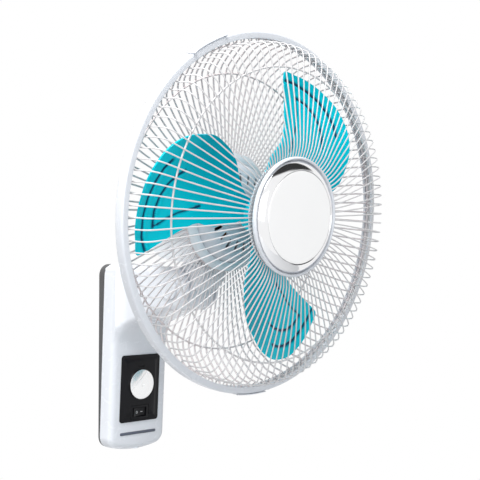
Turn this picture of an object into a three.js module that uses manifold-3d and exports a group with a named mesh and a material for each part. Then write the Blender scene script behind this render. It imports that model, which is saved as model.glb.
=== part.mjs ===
// Wall mounted fan, in millimetres. +Z is up, the wall is the plane Y = 0 and the fan blows towards -Y.
import * as THREE from 'three';
import * as BufferGeometryUtils from 'three/addons/utils/BufferGeometryUtils.js';
import Module from 'manifold-3d';

const wasm = await Module();
wasm.setup();

// ---------------------------------------------------------------- driving dimensions

const GAP = 0.3;                    // clearance between two pieces that touch

// base on the wall
const BASE_WIDTH = 96;
const BASE_TOP = 128;
const BASE_BOTTOM = -127;
const BASE_CORNER = 16;             // radius of the four corners seen from the front
const BASE_BOW = 7;                 // how far the bottom edge bows down
const BACK_DEPTH = 10.4;            // depth of the dark back plate at the top
const BACK_TAPER = 0.023;           // the plate gets thinner further down
const TOP_DEPTH = 38;               // how far the face stands off the wall at the top
const FACE_SLOPE = 0.055;           // the face leans towards the wall further down
const SHELL_WALL = 2.4;
const RIM_ROUND = 8;                // rounding of the shell's and the arm's rims
const SCREW_POST_RADIUS = 4.5;
const SLOT_WIDTH = 62;              // the slot that holds the slate bar
const SLOT_HEIGHT = 4;
const INLET_Y = -17;                // where the cord gland sits in the bottom
const INLET_Z = -123;               // the bottom's level there
const FACE_ANGLE = Math.atan(FACE_SLOPE);

// control panel, in its own plane
const PANEL_Z = -40.6;
const PANEL_WIDTH = 66.5;
const PANEL_HEIGHT = 90.5;
const PANEL_PROUD = 3;
const KNOB_RADIUS = 20;
const KNOB_FRONT = 5.8;             // how far the dial stands off the panel's plane
const KNOB_FACET = 8;               // distance of the pointer facet's edge from the dial's centre
const KNOB_RISE = 5.3;              // the knob's centre above the panel's centre
const ROCKER_DROP = 32.7;
const BAR_DROP = -60.7;             // the slate bar's centre below the panel's centre
const ROCKER_WIDTH = 30.5;
const ROCKER_HEIGHT = 18.5;
const ROCKER_TIP = -7 * Math.PI / 180;   // the rocker rests with its left end pressed in

// arm and tilt pivot
const PIVOT_Y = -127;
const PIVOT_Z = 95;
const CHEEK_RADIUS = 28;
const CHEEK_OUTER = 33;
const CAP_SEAT = 32;                // where the round seats of the pivot caps lie
const PIVOT_CAP_RADIUS = 14;
const ROOT_WIDENING = 0.26;         // the arm's root is that much wider than its fork
const FORK_HALF = 24;
const TILT_BOLT_RADIUS = 4;

// head: its own frame has the hoop's front edge at its origin, and leans down from the level
const HOOP_Y = -262;
const HOOP_Z = 185;
const HEAD_LEAN = 5.64 * Math.PI / 180;
const HOOP_RADIUS = 217;
const HOOP_WIDTH = 13.2;
const HOOP_WALL = 1.4;
const HOOP_MOUTH = 208.8;           // radius of the channel's open side
const SWING_FORWARD = -97;          // the swing axis, measured along the fan's axis
const CRANK_THROW = 7;
const LEVER_THROW = 10.5;
const NECK_HALF = 21;
const BARREL_RADIUS = 27.4;
const NECK_WALL = 2.6;
const NECK_TOP = -68;
const MOTOR_RADIUS = 62;
const MOTOR_SPLIT = -60;            // where the two motor covers meet
const CAP_RADIUS = 70.6;
const BLADE_COUNT = 3;
const BLADE_PHASE = 50;             // first blade's centre line, degrees clockwise from up
const HUB_RADIUS = 21;
const GUARD_WIRES = 24;
const WIRE = 3;
const RIM_WIRE_RADIUS = 212.4;      // the guards' outer rings, held inside the hoop
const RIM_WIRE = 3.4;
const FRONT_RIM_DEPTH = -4;
const REAR_RIM_DEPTH = -9.2;
const REAR_GUARD_DEPTH = -62;
const FRONT_RING_RADIUS = 174.6;    // the stiffening rings half way out
const FRONT_RING_DEPTH = 30.6;
const REAR_RING_RADIUS = 170;
const REAR_RING_DEPTH = -56;
const CAP_RING_RADIUS = 62;         // the ring that the cap clamps
const CAP_RING_DEPTH = 41;
const MOTOR_RING_RADIUS = 68;       // the ring that the guard ring clamps

// ---------------------------------------------------------------- materials

function paint(name, color, roughness, metalness = 0) {
  const material = new THREE.MeshStandardMaterial({ color, roughness, metalness });
  material.name = name;
  return material;
}

const WHITE_PLASTIC = ['white_plastic', 0xe4e9f1, 0.32];
const GREY_PLASTIC = ['grey_plastic', 0xc3c9d2, 0.42];
const DARK_PLASTIC = ['dark_plastic', 0x4c4c4e, 0.6];
const BLACK_GLOSS = ['black_gloss', 0x1e1e20, 0.2];
const TEAL_PLASTIC = ['teal_plastic', 0x00b0cc, 0.25];
const GUARD_PAINT = ['guard_paint', 0xe2dedf, 0.35];
const PEARL = ['pearl_disc', 0xe6e8ea, 0.3];
const CHROME = ['chrome_ring', 0x9a9da0, 0.15, 1];
const STEEL = ['zinc_steel', 0xa9adb3, 0.4, 1];
const COPPER = ['copper_wire', 0xa8552b, 0.4, 1];
const IRON = ['core_steel', 0x62666c, 0.5, 1];
const SLATE = ['slate_bar', 0x5c616b, 0.4];

// ---------------------------------------------------------------- geometry helpers

// Points of a polyline become a closed three.js shape.
function polygon(points) {
  return new THREE.Shape(points.map(([x, y]) => new THREE.Vector2(x, y)));
}

function welded(geometry) {
  const bare = geometry.clone();
  bare.deleteAttribute('normal');
  bare.deleteAttribute('uv');
  return BufferGeometryUtils.mergeVertices(bare, 1e-4);
}

function signedVolume(geometry) {
  const place = geometry.getAttribute('position');
  const index = geometry.getIndex();
  const corner = [new THREE.Vector3(), new THREE.Vector3(), new THREE.Vector3()];
  let volume = 0;
  for (let i = 0; i < index.count; i += 3) {
    corner.forEach((vector, k) => vector.fromBufferAttribute(place, index.getX(i + k)));
    volume += corner[0].dot(corner[1].clone().cross(corner[2])) / 6;
  }
  return volume;
}

// Welds a geometry and turns its faces outwards.
function closed(geometry) {
  const whole = welded(geometry);
  if (signedVolume(whole) < 0) {
    const index = whole.getIndex();
    for (let i = 0; i < index.count; i += 3) {
      const second = index.getX(i + 1);
      index.setX(i + 1, index.getX(i + 2));
      index.setX(i + 2, second);
    }
  }
  return whole;
}

function toSolid(geometry) {
  const whole = closed(geometry);
  return new wasm.Manifold(new wasm.Mesh({
    numProp: 3,
    vertProperties: new Float32Array(whole.getAttribute('position').array),
    triVerts: new Uint32Array(whole.getIndex().array),
  }));
}

function toGeometry(solid) {
  const mesh = solid.getMesh();
  const geometry = new THREE.BufferGeometry();
  const places = new Float32Array(mesh.vertProperties);
  geometry.setAttribute('position', new THREE.BufferAttribute(places, 3));
  geometry.setIndex(new THREE.BufferAttribute(new Uint32Array(mesh.triVerts), 1));
  return geometry;
}

function joined(first, ...others) {
  return toGeometry(others.reduce((sum, other) => sum.add(toSolid(other)), toSolid(first)));
}

function cut(first, ...others) {
  return toGeometry(others.reduce((rest, other) => rest.subtract(toSolid(other)), toSolid(first)));
}

// A turned piece about the fan's axis: profile points are [radius, forward].
function turnedForward(profile, sides = 36) {
  const points = profile.map(([radius, forward]) => new THREE.Vector2(radius, forward));
  return new THREE.LatheGeometry(points, sides).rotateX(Math.PI);
}

// A turned piece about an upright axis: profile points are [radius, up].
function turnedUp(profile, sides = 20) {
  const points = profile.map(([radius, up]) => new THREE.Vector2(radius, up));
  return new THREE.LatheGeometry(points, sides).rotateX(Math.PI / 2);
}

// A turned piece about the left-right axis: profile points are [radius, x].
function turnedAcross(profile, sides = 24) {
  const points = profile.map(([radius, x]) => new THREE.Vector2(radius, x));
  return new THREE.LatheGeometry(points, sides).rotateZ(-Math.PI / 2);
}

function rod(radius, from, to) {
  return [[0, from], [radius, from], [radius, to], [0, to]];
}

function tube(inner, outer, from, to) {
  return [[inner, from], [outer, from], [outer, to], [inner, to], [inner, from]];
}

function block(width, depth, height, x = 0, y = 0, z = 0) {
  return new THREE.BoxGeometry(width, depth, height).translate(x, y, z);
}

// A front-view outline [x, z] pushed from the depth yBack to yFront, with its front edge rounded.
function pushedForward(shape, yBack, yFront, round = 0, steps = 2) {
  const length = yBack - yFront;
  const geometry = new THREE.ExtrudeGeometry(shape, {
    depth: length - round,
    steps: 1,
    curveSegments: 4,
    bevelEnabled: round > 0,
    bevelThickness: round,
    bevelSize: round,
    bevelOffset: -round,
    bevelSegments: steps,
  });
  if (round > 0) {
    flattenStart(geometry);
  }
  return geometry.rotateX(Math.PI / 2).translate(0, yBack, 0);
}

// The rounded start of a bevelled extrusion is pressed back into the plane where it begins.
function flattenStart(geometry) {
  const place = geometry.getAttribute('position');
  for (let i = 0; i < place.count; i += 1) {
    place.setZ(i, Math.max(place.getZ(i), 0));
  }
}

// A side-view outline [y, z] pushed both ways across the plane X = 0, with rounded rims.
function pushedAcross(shape, half, round = 0, steps = 2) {
  const geometry = new THREE.ExtrudeGeometry(shape, {
    depth: 2 * (half - round),
    steps: 1,
    curveSegments: 8,
    bevelEnabled: round > 0,
    bevelThickness: round,
    bevelSize: round,
    bevelOffset: -round,
    bevelSegments: steps,
  });
  const turn = new THREE.Matrix4().makeBasis(
    new THREE.Vector3(0, 1, 0), new THREE.Vector3(0, 0, 1), new THREE.Vector3(1, 0, 0));
  return geometry.applyMatrix4(turn).translate(-(half - round), 0, 0);
}

// The outline of a strip of even thickness that follows a polyline.
function stripOutline(points, thickness) {
  const spots = points.map(([x, y]) => new THREE.Vector2(x, y));
  const sideways = spots.map((spot, i) => {
    const before = spots[Math.max(i - 1, 0)];
    const after = spots[Math.min(i + 1, spots.length - 1)];
    const along = after.clone().sub(before).normalize();
    return new THREE.Vector2(-along.y, along.x).multiplyScalar(thickness / 2);
  });
  const left = spots.map((spot, i) => spot.clone().add(sideways[i]));
  const right = spots.map((spot, i) => spot.clone().sub(sideways[i]));
  return new THREE.Shape([...left, ...right.reverse()]);
}

function piece(parent, name, geometry, look) {
  const whole = closed(geometry).toNonIndexed();
  whole.computeVertexNormals();
  const mesh = new THREE.Mesh(whole, paint(...look));
  mesh.name = name;
  parent.add(mesh);
  return mesh;
}

// ---------------------------------------------------------------- base

function faceDepth(z) {
  return TOP_DEPTH - FACE_SLOPE * (BASE_TOP - z);
}

// Depth of the back plate at a height.
function backDepth(z) {
  return BACK_DEPTH - BACK_TAPER * (BASE_TOP - z);
}

function baseOutline(inset) {
  const half = BASE_WIDTH / 2 - inset;
  const top = BASE_TOP - inset;
  const low = BASE_BOTTOM + BASE_BOW + inset;
  const corner = Math.max(BASE_CORNER - inset, 1);
  const shape = new THREE.Shape();
  shape.moveTo(half, low + corner);
  shape.lineTo(half, top - corner);
  shape.absarc(half - corner, top - corner, corner, 0, Math.PI / 2, false);
  shape.absarc(corner - half, top - corner, corner, Math.PI / 2, Math.PI, false);
  shape.lineTo(-half, low + corner);
  shape.absarc(corner - half, low + corner, corner, Math.PI, Math.PI * 1.42, false);
  shape.quadraticCurveTo(0, low - BASE_BOW, half - corner * 0.75, low + 0.5);
  shape.absarc(half - corner, low + corner, corner, Math.PI * 1.58, Math.PI * 2, false);
  return shape;
}

// Leans an upright extrusion so that its face follows faceDepth and its rear follows backDepth.
function leanFace(geometry, less) {
  const place = geometry.getAttribute('position');
  for (let i = 0; i < place.count; i += 1) {
    const share = (-place.getY(i) - BACK_DEPTH) / (TOP_DEPTH - less - BACK_DEPTH);
    const rear = backDepth(place.getZ(i)) + GAP;
    const front = faceDepth(place.getZ(i)) - less;
    place.setY(i, -rear - share * (front - rear));
  }
  return geometry;
}

// Side view of the arm, which grows out of the base's face and ends round the tilt pivot.
function armOutline() {
  const shape = new THREE.Shape();
  shape.moveTo(-BACK_DEPTH - 4, BASE_TOP - 3);
  shape.lineTo(PIVOT_Y, PIVOT_Z + CHEEK_RADIUS);
  shape.absarc(PIVOT_Y, PIVOT_Z, CHEEK_RADIUS, Math.PI / 2, Math.PI * 1.56, false);
  shape.quadraticCurveTo(-80, 58, -46, 44);
  shape.quadraticCurveTo(-36, 40, -BACK_DEPTH - 14, 34);
  shape.lineTo(-BACK_DEPTH - 4, 34);
  return shape;
}

// The arm is wider at its root than at the fork.
function widenRoot(geometry) {
  const place = geometry.getAttribute('position');
  for (let i = 0; i < place.count; i += 1) {
    const share = (place.getY(i) - PIVOT_Y) / -PIVOT_Y;
    place.setX(i, place.getX(i) * (1 + ROOT_WIDENING * share));
  }
  return geometry;
}

const SCREW_PLACES = [[-38, 104], [38, 104], [-36, -96], [36, -96]];
const WEB_DEPTH = 6;                // thickness of the back plate inside its rim

function baseShell() {
  const shape = baseOutline(0);
  const skin = leanFace(pushedForward(shape, -BACK_DEPTH, -TOP_DEPTH, RIM_ROUND), 0);
  const arm = widenRoot(pushedAcross(armOutline(), CHEEK_OUTER, RIM_ROUND));
  const hollow = leanFace(
    pushedForward(baseOutline(SHELL_WALL), -BACK_DEPTH + 2, -TOP_DEPTH + SHELL_WALL,
      RIM_ROUND - 2), SHELL_WALL);
  const armHollow = pushedAcross(polygon([
    [-BACK_DEPTH + 2, 118], [-92, 115], [-92, 70], [-46, 52], [-BACK_DEPTH + 2, 42]]), 28.5);
  const fork = turnedAcross(rod(CHEEK_RADIUS + 2, -FORK_HALF, FORK_HALF));
  const boltHole = turnedAcross(rod(TILT_BOLT_RADIUS + GAP, -60, 60), 24);
  const seats = [-1, 1].map((side) => turnedAcross(rod(PIVOT_CAP_RADIUS + 0.4, CAP_SEAT, 60))
    .scale(side, 1, 1).translate(0, PIVOT_Y, PIVOT_Z));
  const window = panelPlaced(block(PANEL_WIDTH - 5, 40, PANEL_HEIGHT - 5));
  const slot = panelPlaced(block(SLOT_WIDTH, 40, SLOT_HEIGHT, 0, 0, BAR_DROP));
  const inlet = turnedUp(rod(6.3, INLET_Z - 9, INLET_Z + 11), 20).translate(0, INLET_Y, 0);
  fork.translate(0, PIVOT_Y, PIVOT_Z);
  boltHole.translate(0, PIVOT_Y, PIVOT_Z);
  const shell = cut(joined(skin, arm), hollow, armHollow, fork, boltHole,
    ...seats, window, slot, inlet);
  const posts = SCREW_PLACES.map(([x, z]) => {
    const foot = Math.min(backDepth(z), WEB_DEPTH) + 2 * GAP;
    return cut(
      turnedForward(rod(SCREW_POST_RADIUS, foot, faceDepth(z) - 1.2), 16).translate(x, 0, z),
      turnedForward(rod(2.3, 0, faceDepth(z) - 5), 12).translate(x, 0, z));
  });
  return joined(shell, ...posts);
}

// Moves a geometry made about the panel's centre, with its face towards -Y, to its place.
function panelPlaced(geometry) {
  return geometry.rotateX(FACE_ANGLE).translate(0, -faceDepth(PANEL_Z), PANEL_Z);
}

function roundedRectangle(width, height, corner) {
  const shape = new THREE.Shape();
  const x = width / 2 - corner;
  const z = height / 2 - corner;
  shape.absarc(x, z, corner, 0, Math.PI / 2, false);
  shape.absarc(-x, z, corner, Math.PI / 2, Math.PI, false);
  shape.absarc(-x, -z, corner, Math.PI, Math.PI * 1.5, false);
  shape.absarc(x, -z, corner, Math.PI * 1.5, Math.PI * 2, false);
  return shape;
}

const BRACKET_WIDTH = 52;
const BRACKET_HEIGHT = 92;

function backPlate() {
  const plate = pushedForward(baseOutline(1.5), 0, -BACK_DEPTH);
  const place = plate.getAttribute('position');
  for (let i = 0; i < place.count; i += 1) {
    place.setY(i, place.getY(i) / BACK_DEPTH * (backDepth(place.getZ(i)) - GAP));
  }
  const bracketPocket = block(BRACKET_WIDTH + 2 * GAP, 6.6, BRACKET_HEIGHT + 2 * GAP);
  const inside = pushedForward(baseOutline(4.5), -WEB_DEPTH, -BACK_DEPTH - 2);
  const holes = SCREW_PLACES.map(([x, z]) => joined(
    turnedForward(rod(2.4, -2, BACK_DEPTH + 2), 12),
    turnedForward(rod(4.6, -2, 3.5), 12)).translate(x, 0, z));
  return cut(plate, bracketPocket, inside, ...holes);
}

function wallBracket() {
  const plate = pushedForward(roundedRectangle(BRACKET_WIDTH, BRACKET_HEIGHT, 4), 0, -3);
  const keyholes = [-30, 30].map((z) => joined(
    turnedForward(rod(4.5, -2, 8), 16),
    block(4.6, 12, 12, 0, 0, 6)).translate(0, 0, z));
  return cut(plate, ...keyholes);
}

function controlPanel() {
  const body = pushedForward(roundedRectangle(PANEL_WIDTH, PANEL_HEIGHT, 4), -GAP, -PANEL_PROUD, 1.6);
  const rear = block(PANEL_WIDTH - 6, 4, PANEL_HEIGHT - 6, 0, 1.5, 0);
  const dish = pushedForward(roundedRectangle(54, 78, 3), -1.2, -PANEL_PROUD - 4);
  const shaftHole = turnedForward(rod(4.3, -10, 10), 20).translate(0, 0, KNOB_RISE);
  const rockerHole = block(ROCKER_WIDTH + 2 * GAP, 20, ROCKER_HEIGHT + 2 * GAP, 0, 0, -ROCKER_DROP);
  const markSlot = block(11.5, 4, 1.6, 0, -2.4, 29.5);
  return panelPlaced(cut(joined(body, rear), dish, shaftHole, rockerHole, markSlot));
}

// The dial turns with the switch shaft behind it; a sloping facet at its upper left is the pointer.
function speedKnob() {
  const dial = turnedForward([[0, 2.2], [KNOB_RADIUS, 2.2], [KNOB_RADIUS, KNOB_FRONT - 1.2],
    [KNOB_RADIUS - 1.2, KNOB_FRONT], [0, KNOB_FRONT + 0.8]], 32);
  const facet = block(3 * KNOB_RADIUS, 10, KNOB_RADIUS, 0, -5, KNOB_RADIUS / 2);
  facet.rotateX(0.2).translate(0, -KNOB_FRONT - 0.5, KNOB_FACET).rotateY(-Math.PI / 4);
  return panelPlaced(cut(dial, facet).translate(0, 0, KNOB_RISE));
}

function switchShaft() {
  const shaft = turnedForward(rod(3.2, -7.5, 1.9), 20).translate(0, 0, KNOB_RISE);
  return panelPlaced(shaft);
}

function speedSwitch() {
  const body = block(26, 8, 26, 0, 8.2, KNOB_RISE);
  const bore = turnedForward(rod(3.5, -8, 8), 20).translate(0, 0, KNOB_RISE);
  return panelPlaced(cut(body, bore));
}

function rockerFrame() {
  const rim = block(ROCKER_WIDTH, 11, ROCKER_HEIGHT, 0, 3.5, -ROCKER_DROP);
  const well = block(ROCKER_WIDTH - 5, 12, ROCKER_HEIGHT - 5, 0, 1, -ROCKER_DROP);
  return panelPlaced(cut(rim, well));
}

// The rocker tips left and right about an upright pin line.
function rockerButton() {
  const half = (ROCKER_WIDTH - 8) / 2;
  const shape = new THREE.Shape();
  shape.moveTo(-half, 1.6);
  shape.quadraticCurveTo(0, -0.6, half, 1.6);
  shape.lineTo(half - 2.5, -3);
  shape.lineTo(2.5 - half, -3);
  const body = new THREE.ExtrudeGeometry(shape, { depth: ROCKER_HEIGHT - 7, bevelEnabled: false });
  body.scale(1, -1, 1).rotateZ(ROCKER_TIP);
  body.translate(0, 0, -ROCKER_DROP - (ROCKER_HEIGHT - 7) / 2);
  return panelPlaced(body);
}

function trimBar() {
  return panelPlaced(block(SLOT_WIDTH - 2 * GAP, 3.4, SLOT_HEIGHT - 2 * GAP, 0, 1, BAR_DROP));
}

function capacitor() {
  return block(20, 14, 34, -30, -16, 68);
}

function terminalBlock() {
  const body = block(34, 11, 12, 20, -13.5, 24);
  const holes = [8, 20, 32].map((x) => turnedForward(rod(2.2, 10, 30), 12).translate(x, 0, 24));
  return cut(body, ...holes);
}

// The gland's face is level with the bottom.
function cordGland() {
  return turnedUp(tube(3.2, 6, INLET_Z, INLET_Z + 10), 20).translate(0, INLET_Y, 0);
}

function buildBase(fan) {
  const base = new THREE.Group();
  base.name = 'base';
  fan.add(base);
  piece(base, 'wall_bracket', wallBracket(), STEEL);
  piece(base, 'back_plate', backPlate(), DARK_PLASTIC);
  piece(base, 'base_shell', baseShell(), WHITE_PLASTIC);
  piece(base, 'control_panel', controlPanel(), BLACK_GLOSS);
  piece(base, 'speed_knob', speedKnob(), WHITE_PLASTIC);
  piece(base, 'switch_shaft', switchShaft(), STEEL);
  piece(base, 'speed_switch', speedSwitch(), DARK_PLASTIC);
  piece(base, 'rocker_frame', rockerFrame(), BLACK_GLOSS);
  piece(base, 'rocker_button', rockerButton(), BLACK_GLOSS);
  piece(base, 'trim_bar', trimBar(), SLATE);
  piece(base, 'capacitor', capacitor(), GREY_PLASTIC);
  piece(base, 'terminal_block', terminalBlock(), WHITE_PLASTIC);
  piece(base, 'cord_gland', cordGland(), DARK_PLASTIC);
  SCREW_PLACES.forEach(([x, z], i) => {
    const screw = joined(turnedForward(rod(2, 1, 20), 12), turnedForward(rod(4.2, 0.6, 3.2), 12));
    piece(base, `base_screw_${i}`, screw.translate(x, 0, z), STEEL);
  });
  [-1, 1].forEach((side) => {
    const name = side < 0 ? 'left' : 'right';
    piece(base, `tilt_bolt_${name}`, tiltBolt(side), STEEL);
    piece(base, `pivot_cap_${name}`, pivotCap(side), WHITE_PLASTIC);
    piece(base, `tilt_washer_${name}`, tiltWasher(side), STEEL);
  });
}

// A stub bolt holds each cheek to the neck, so the barrel stays free inside.
function tiltBolt(side) {
  const bolt = turnedAcross([[0, 15.5], [7.5, 15.5], [7.5, NECK_HALF - NECK_WALL - GAP],
    [TILT_BOLT_RADIUS, NECK_HALF - NECK_WALL - GAP], [TILT_BOLT_RADIUS, 30], [0, 30]], 16);
  return bolt.scale(side, 1, 1).translate(0, PIVOT_Y, PIVOT_Z);
}

function pivotCap(side) {
  const disc = turnedAcross([[0, 30.4], [3.9, 30.4], [3.9, CAP_SEAT + GAP],
    [PIVOT_CAP_RADIUS, CAP_SEAT + GAP], [PIVOT_CAP_RADIUS, CAP_SEAT + 2.2],
    [PIVOT_CAP_RADIUS - 1.4, CAP_SEAT + 3.4], [0, CAP_SEAT + 3.4]], 24);
  return disc.scale(side, 1, 1).translate(0, PIVOT_Y, PIVOT_Z);
}

function tiltWasher(side) {
  const ring = turnedAcross(tube(TILT_BOLT_RADIUS + GAP, 18, NECK_HALF + GAP, FORK_HALF - GAP), 20);
  return ring.scale(side, 1, 1).translate(0, PIVOT_Y, PIVOT_Z);
}

// ---------------------------------------------------------------- neck, in the head's frame

// The tilt pivot in the head's frame, as [forward, up].
function pivotInHead() {
  const down = HOOP_Z - PIVOT_Z;
  const back = PIVOT_Y - HOOP_Y;
  const forward = -back * Math.cos(HEAD_LEAN) + down * Math.sin(HEAD_LEAN);
  const up = -back * Math.sin(HEAD_LEAN) - down * Math.cos(HEAD_LEAN);
  return [forward, up];
}

// A side-view outline given as [forward, up] points, pushed across X.
function sideForm(points, half, round = 0) {
  return pushedAcross(polygon(points.map(([forward, up]) => [-forward, up])), half, round, 2);
}

// Side view of the neck in front of its barrel: a wedge that narrows down towards the pivot.
function neckWedge(inset) {
  return [
    [-118 - inset, LID_LOW], [-79 - inset, LID_LOW], [-78 - inset, -80], [-83 - inset, -91 + inset],
    [-104 - inset, -106 + inset], [-118, -118 + inset], [-126, -110],
  ];
}

const LID_LOW = NECK_TOP - 3.7;

function neckBody() {
  const [forward, up] = pivotInHead();
  const across = (radius, half) => turnedAcross(rod(radius, -half, half), 32)
    .translate(0, -forward, up);
  const wedge = sideForm(neckWedge(0), NECK_HALF, 3);
  const hollow = sideForm([[-116, -60], [-81.6, -60], ...neckWedge(NECK_WALL).slice(2, 5),
    [-116, -112], [-122, -108]], NECK_HALF - NECK_WALL);
  const inner = NECK_HALF - NECK_WALL;
  return cut(joined(wedge, across(BARREL_RADIUS, NECK_HALF)), hollow,
    across(BARREL_RADIUS - NECK_WALL, inner), across(TILT_BOLT_RADIUS + GAP, 60));
}

// The lid closes the neck and carries the bush that the swing post turns in.
function neckLid() {
  const outline = sideForm([[-116, LID_LOW + GAP], [-79.5, LID_LOW + GAP], [-79.5, NECK_TOP],
    [-116, NECK_TOP]], NECK_HALF - 0.5);
  const bush = turnedUp(rod(10, NECK_TOP - 8, NECK_TOP)).translate(0, -SWING_FORWARD, 0);
  const bore = turnedUp(rod(6.3, -90, -50)).translate(0, -SWING_FORWARD, 0);
  return cut(joined(outline, bush), bore);
}

// Levels of the swing linkage inside the neck, from the motor upwards.
const CAN_LOW = -101.5;
const CAN_TOP = -88.5;
const CRANK_LOW = -87.6;
const LINK_LOW = -83.6;
const LINK_TOP = -81.1;
const LEVER_LOW = -80.5;
const LEVER_TOP = -77;

function atCrank(geometry) {
  const [forward] = pivotInHead();
  return geometry.translate(0, -forward, 0);
}

function swingMotor() {
  const can = turnedUp(rod(13.8, CAN_LOW, CAN_TOP), 24);
  const bore = turnedUp(rod(2.3, CAN_LOW + 3, CAN_TOP + 5), 12);
  return atCrank(cut(can, bore));
}

function swingCrank() {
  const shaft = turnedUp(rod(2, CAN_LOW + 4, CRANK_LOW + 1), 12);
  const disc = turnedUp(rod(9.8, CRANK_LOW, CRANK_LOW + 2.4), 24);
  const pin = turnedUp(rod(1.8, CRANK_LOW + 1, LINK_TOP), 12).translate(CRANK_THROW, 0, 0);
  return atCrank(joined(shaft, disc, pin));
}

function swingLink() {
  const rear = [CRANK_THROW, -pivotInHead()[0]];
  const front = [LEVER_THROW, -SWING_FORWARD];
  const centres = [rear, front];
  const thickness = LINK_TOP - LINK_LOW;
  const eyes = centres.map(([x, y]) => turnedUp(rod(4, LINK_LOW, LINK_TOP), 16).translate(x, y, 0));
  const bar = block(4.5, Math.hypot(front[0] - rear[0], front[1] - rear[1]), thickness);
  bar.rotateZ(Math.atan2(front[0] - rear[0], rear[1] - front[1]));
  bar.translate((rear[0] + front[0]) / 2, (rear[1] + front[1]) / 2, LINK_LOW + thickness / 2);
  const holes = centres.map(([x, y]) => turnedUp(rod(2.1, -95, -70), 12).translate(x, y, 0));
  return cut(joined(bar, ...eyes), ...holes);
}

// The post under the motor carries the lever that the link pushes.
function swingPost() {
  const post = turnedUp([[0, LEVER_LOW], [6, LEVER_LOW], [6, -67.5], [13, -67.5], [13, -65.6],
    [0, -65.6]]);
  const middle = (LEVER_LOW + LEVER_TOP) / 2;
  const lever = block(LEVER_THROW, 7, LEVER_TOP - LEVER_LOW, LEVER_THROW / 2, 0, middle);
  const eye = turnedUp(rod(3.5, LEVER_LOW, LEVER_TOP), 16).translate(LEVER_THROW, 0, 0);
  return joined(post, lever, eye).translate(0, -SWING_FORWARD, 0);
}

function buildNeck(head) {
  piece(head, 'neck_body', neckBody(), WHITE_PLASTIC);
  piece(head, 'neck_lid', neckLid(), WHITE_PLASTIC);
  piece(head, 'swing_motor', swingMotor(), STEEL);
  piece(head, 'swing_crank', swingCrank(), STEEL);
  piece(head, 'swing_link', swingLink(), STEEL);
  piece(head, 'swing_post', swingPost(), IRON);
}

// ---------------------------------------------------------------- motor, in the head's frame

const COVER_WALL = 2.4;
const BEARING_BORE = 9.3;
const SHAFT_RADIUS = 4;
const CORE_REAR = -136;             // the stator's steel, between its two windings
const CORE_FRONT = -98;
const SADDLE_LOW = -65.3;           // underside of the motor's round foot over the neck

const BOWL_FRONT = -66.5;           // the bowl under the cover starts behind the rear guard
const BOWL_HALF = 47;

// A round bowl about the swing axis, flat below, cut off at its sides and in front.
function bowl(less) {
  const round = turnedUp([[0, SADDLE_LOW + less], [47 - less / 2, SADDLE_LOW + less],
    [58 - less, -63 + less], [66 - less, -57 + less / 2], [69 - less, -48], [69 - less, -20],
    [0, -20]], 36).translate(0, -SWING_FORWARD, 0);
  const room = block(2 * (BOWL_HALF - less), 110, 60, 0, 55 - BOWL_FRONT + less, -45);
  return toGeometry(toSolid(round).intersect(toSolid(room)));
}

// The dome of the cover grows into the bowl, which turns above the neck.
function rearCover() {
  const inside = MOTOR_RADIUS - COVER_WALL;
  const dome = turnedForward([[0, -189], [24, -187], [42, -179], [55, -164], [60.5, -143],
    [MOTOR_RADIUS, -118], [MOTOR_RADIUS, MOTOR_SPLIT - GAP], [0, MOTOR_SPLIT - GAP]], 32);
  const room = turnedForward([[0, -185.4], [23.4, -184.4], [40.5, -176.6], [52.8, -162],
    [58, -142], [inside, -118], [inside, -50], [0, -50]], 32);
  const boss = turnedUp(rod(19, SADDLE_LOW - 1, -45), 28).translate(0, -SWING_FORWARD, 0);
  const socket = turnedForward(rod(12, -186.5, -166), 24);
  const bearingBore = turnedForward(rod(BEARING_BORE, -180, -150), 24);
  const vents = slotRow(5, -150, -100, Math.PI * 0.22, Math.PI * 0.78);
  const shell = cut(joined(dome, bowl(0)), room, cut(bowl(COVER_WALL), boss), ...vents);
  return cut(joined(shell, socket), bearingBore);
}

// Long slots through the top of the rear cover.
function slotRow(count, from, to, startAngle, endAngle) {
  return Array.from({ length: count }, (_, i) => {
    const angle = startAngle + (endAngle - startAngle) * i / (count - 1);
    const slot = block(16, Math.abs(to - from), 3.2, MOTOR_RADIUS, -(from + to) / 2, 0);
    return slot.rotateY(-angle);
  });
}

function frontCover() {
  const cover = turnedForward([
    [MOTOR_RADIUS - COVER_WALL, MOTOR_SPLIT], [MOTOR_RADIUS, MOTOR_SPLIT], [MOTOR_RADIUS, -54],
    [59, -46], [52, -40], [38, -36.5], [14, -35], [14, -27], [6, -27], [6, -37.4],
    [37.5, -38.9], [52, -43.4], [MOTOR_RADIUS - COVER_WALL, -54.5],
    [MOTOR_RADIUS - COVER_WALL, MOTOR_SPLIT]], 30);
  const seat = cut(turnedForward(rod(12, -50, -36), 24), turnedForward(rod(BEARING_BORE, -70, -38.6), 24),
    turnedForward(rod(6, -60, -20), 24));
  const vents = Array.from({ length: 8 }, (_, i) => block(13, 30, 4, 42, 42, 0)
    .rotateY(-(i + 0.5) * Math.PI / 4));
  return cut(joined(cover, seat), ...vents);
}

function stator() {
  const ring = turnedForward(tube(29.5, 50, CORE_REAR, CORE_FRONT), 24);
  const slots = Array.from({ length: 8 }, (_, i) => block(11, 60, 5.5, 35.5, 117, 0)
    .rotateY(i * Math.PI / 4));
  return cut(ring, ...slots);
}

function winding(from, to) {
  return turnedForward(tube(31, 47, from, to), 24);
}

function rotorCore() {
  return turnedForward(tube(SHAFT_RADIUS + GAP, 28.5, CORE_REAR + 1, CORE_FRONT - 1), 24);
}

function motorShaft() {
  return turnedForward(rod(SHAFT_RADIUS, -179, 14), 16);
}

function bearing(from, to) {
  return turnedForward(tube(SHAFT_RADIUS + GAP, BEARING_BORE - GAP, from, to), 16);
}

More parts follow.
